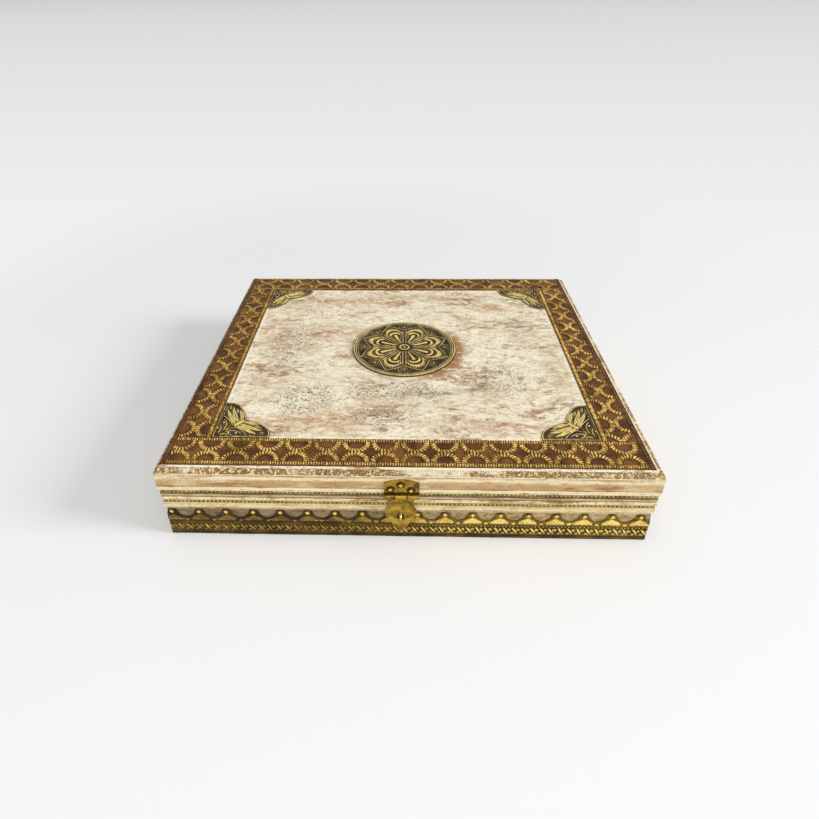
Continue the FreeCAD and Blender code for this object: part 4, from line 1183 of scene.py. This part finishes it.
def ribbonAt(body, side):
    look = ribbonLook
    node = body + "_ribbon_" + side
    half, foot, top, face = upright(node, side)
    columns = np.linspace(-half, half, int(2 * half / look["mesh"]))
    rows = np.linspace(foot, top, int((top - foot) / look["mesh"]) + 2)

    def relief(along, upward):
        fromMiddle = upward - (foot + top) / 2
        edge = (top - foot) / 2
        worn = 0.7 + 0.3 * blotches(along, upward, 11, 131)
        height, tone = stamped((
            (oval(wrapped(along, look["pitch"]), fromMiddle + 0.1, look["seed"]), 0.45, 0.4 + 0.55 * worn),
            outline(fromMiddle, edge - 0.3, 0.35, 0.4, 0.85),
            outline(-fromMiddle, edge - 0.25, 0.25, 0.3, 0.4),
        ))
        return height + unevenness(along, upward, 9, 130) * 0.05, tone

    reliefSheet(
        "ribbon_%s_%s" % (body, side), node, np.meshgrid(columns, rows), relief,
        standing(face - look["depth"]), "ribbon", body, sides[side], look["thick"],
    )


for side in sides:
    ribbonAt("base", side)
    ribbonAt("lid", side)
print("ribbons made")


# the finish of a solid piece is the first one that has a part of its name
nodeFinishes = {
    "lidTop": ("lid_board",),
    "paintX": ("rail_front", "rail_back"),
    "paintY": ("rail_left", "rail_right"),
    "innerX": ("base_floor", "divider_front", "divider_back"),
    "innerY": ("divider_",),
    "pin": ("_pin",),
    "staple": ("hasp_staple",),
    "hasp": ("hasp_", "hinge_"),
}
for name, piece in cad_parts.items():
    for finish, parts in nodeFinishes.items():
        if any(part in name for part in parts):
            piece.data.materials.clear()
            piece.data.materials.append(materials[finish])
            break
print("solid pieces finished")


cameraLook = {
    "place": (-1.3, -397.5, 304.6),     # mm and degrees
    "pitch": 30.56,
    "yaw": -2.10,
    "roll": -0.81,
    "lens": 26.09,
    "shift": (0.0289, -0.0893),
}


def studioCamera():
    look = cameraLook
    pitch, yaw, roll = (math.radians(look[key]) for key in ("pitch", "yaw", "roll"))
    forward = Vector((math.sin(yaw) * math.cos(pitch), math.cos(yaw) * math.cos(pitch), -math.sin(pitch)))
    level = Vector((math.cos(yaw), -math.sin(yaw), 0))
    steep = level.cross(forward)
    right = math.cos(roll) * level + math.sin(roll) * steep
    top = -math.sin(roll) * level + math.cos(roll) * steep
    lens = bpy.data.cameras.new("studioCamera")
    lens.sensor_width = 36
    lens.lens = look["lens"]
    lens.shift_x, lens.shift_y = look["shift"]
    camera = bpy.data.objects.new("studioCamera", lens)
    turned = Matrix((right, top, -forward)).transposed().to_4x4()
    camera.matrix_world = Matrix.Translation(Vector(look["place"]) * mm) @ turned
    scene.collection.objects.link(camera)
    scene.camera = camera


floorLook = {
    "half": 60.0,
    "pale": 0.9,            # the floor beside the box
    "tint": (-0.005, 0, 0.004),
    "fall": 0.062,          # how its glow darkens away behind the box: painted fall-off of light
    "fallFrom": 0.28,
    "shadowReach": (0.3, 0.75),     # where the floor that takes the shadow gives way to plain backdrop
}


def studioFloor():
    look = floorLook
    half = look["half"]
    mesh = bpy.data.meshes.new("studioFloor")
    edges = [(-half, -half, 0), (half, -half, 0), (half, half, 0), (-half, half, 0)]
    mesh.from_pydata(edges, [], [(0, 1, 2, 3)])
    floor = bpy.data.objects.new("studioFloor", mesh)
    scene.collection.objects.link(floor)
    material, shader, place = newMaterial("studioFloor")
    metres = scaled(place, mm)
    back = calc("MAXIMUM", axesOf(metres)[1], look["fallFrom"])
    fallen = calc("LOGARITHM", calc("DIVIDE", back, look["fallFrom"]), math.e)
    pale = minus(look["pale"], times(fallen, look["fall"]))
    away = vector("LENGTH", metres)
    tint = [look["pale"] + part for part in look["tint"]]
    connect((*tint, 1), shader.inputs["Base Color"])
    connect(0.9, shader.inputs["Roughness"])
    # the camera sees the far floor as a glowing backdrop, painted darker further back
    glow = wire("ShaderNodeEmission", {"Strength": pale})
    tree = material.node_tree
    seen = wire("ShaderNodeLightPath", {}, tree).outputs["Is Camera Ray"]
    part = times(seen, between(away, *look["shadowReach"]))
    joined = wire("ShaderNodeMixShader", {0: part, 1: shader.outputs[0], 2: glow.outputs[0]})
    out = next(made for made in tree.nodes if made.type == "OUTPUT_MATERIAL")
    connect(joined.outputs[0], out.inputs["Surface"])
    mesh.materials.append(material)


worldLight = {
    "diffuse": 0.43,
    "seen": 0.62,
}


def studioWorld():
    world = bpy.data.worlds.new("studio")
    world.use_nodes = True
    tree = world.node_tree
    back = tree.nodes["Background"]
    path = wire("ShaderNodeLightPath", {}, tree)
    seen = calc("MAXIMUM", path.outputs["Is Camera Ray"], path.outputs["Is Glossy Ray"])
    connect((1, 1, 1, 1), back.inputs["Color"])
    connect(between(seen, 0.0, 1.0, worldLight["diffuse"], worldLight["seen"]), back.inputs["Strength"])
    scene.world = world


def lamp(name, place, size, power):
    light = bpy.data.lights.new(name, "AREA")
    light.energy = power
    light.size = size
    made = bpy.data.objects.new(name, light)
    made.location = place
    made.rotation_euler = (-Vector(place)).to_track_quat("-Z", "Y").to_euler()
    scene.collection.objects.link(made)


# area lamps that face the box: place and size in metres, power in watts
lamps = {
    "keyLamp": ((0.2, -1.4, 1.75), 1.1, 17),
    "sideLamp": ((4.5, -0.75, 2.35), 1.6, 155),
    "fillLamp": ((-0.8, -1.3, 1.0), 1.4, 3),
}
studioCamera()
studioFloor()
studioWorld()
for name, settings in lamps.items():
    lamp(name, *settings)
scene.view_settings.view_transform = "Standard"
print("studio made")
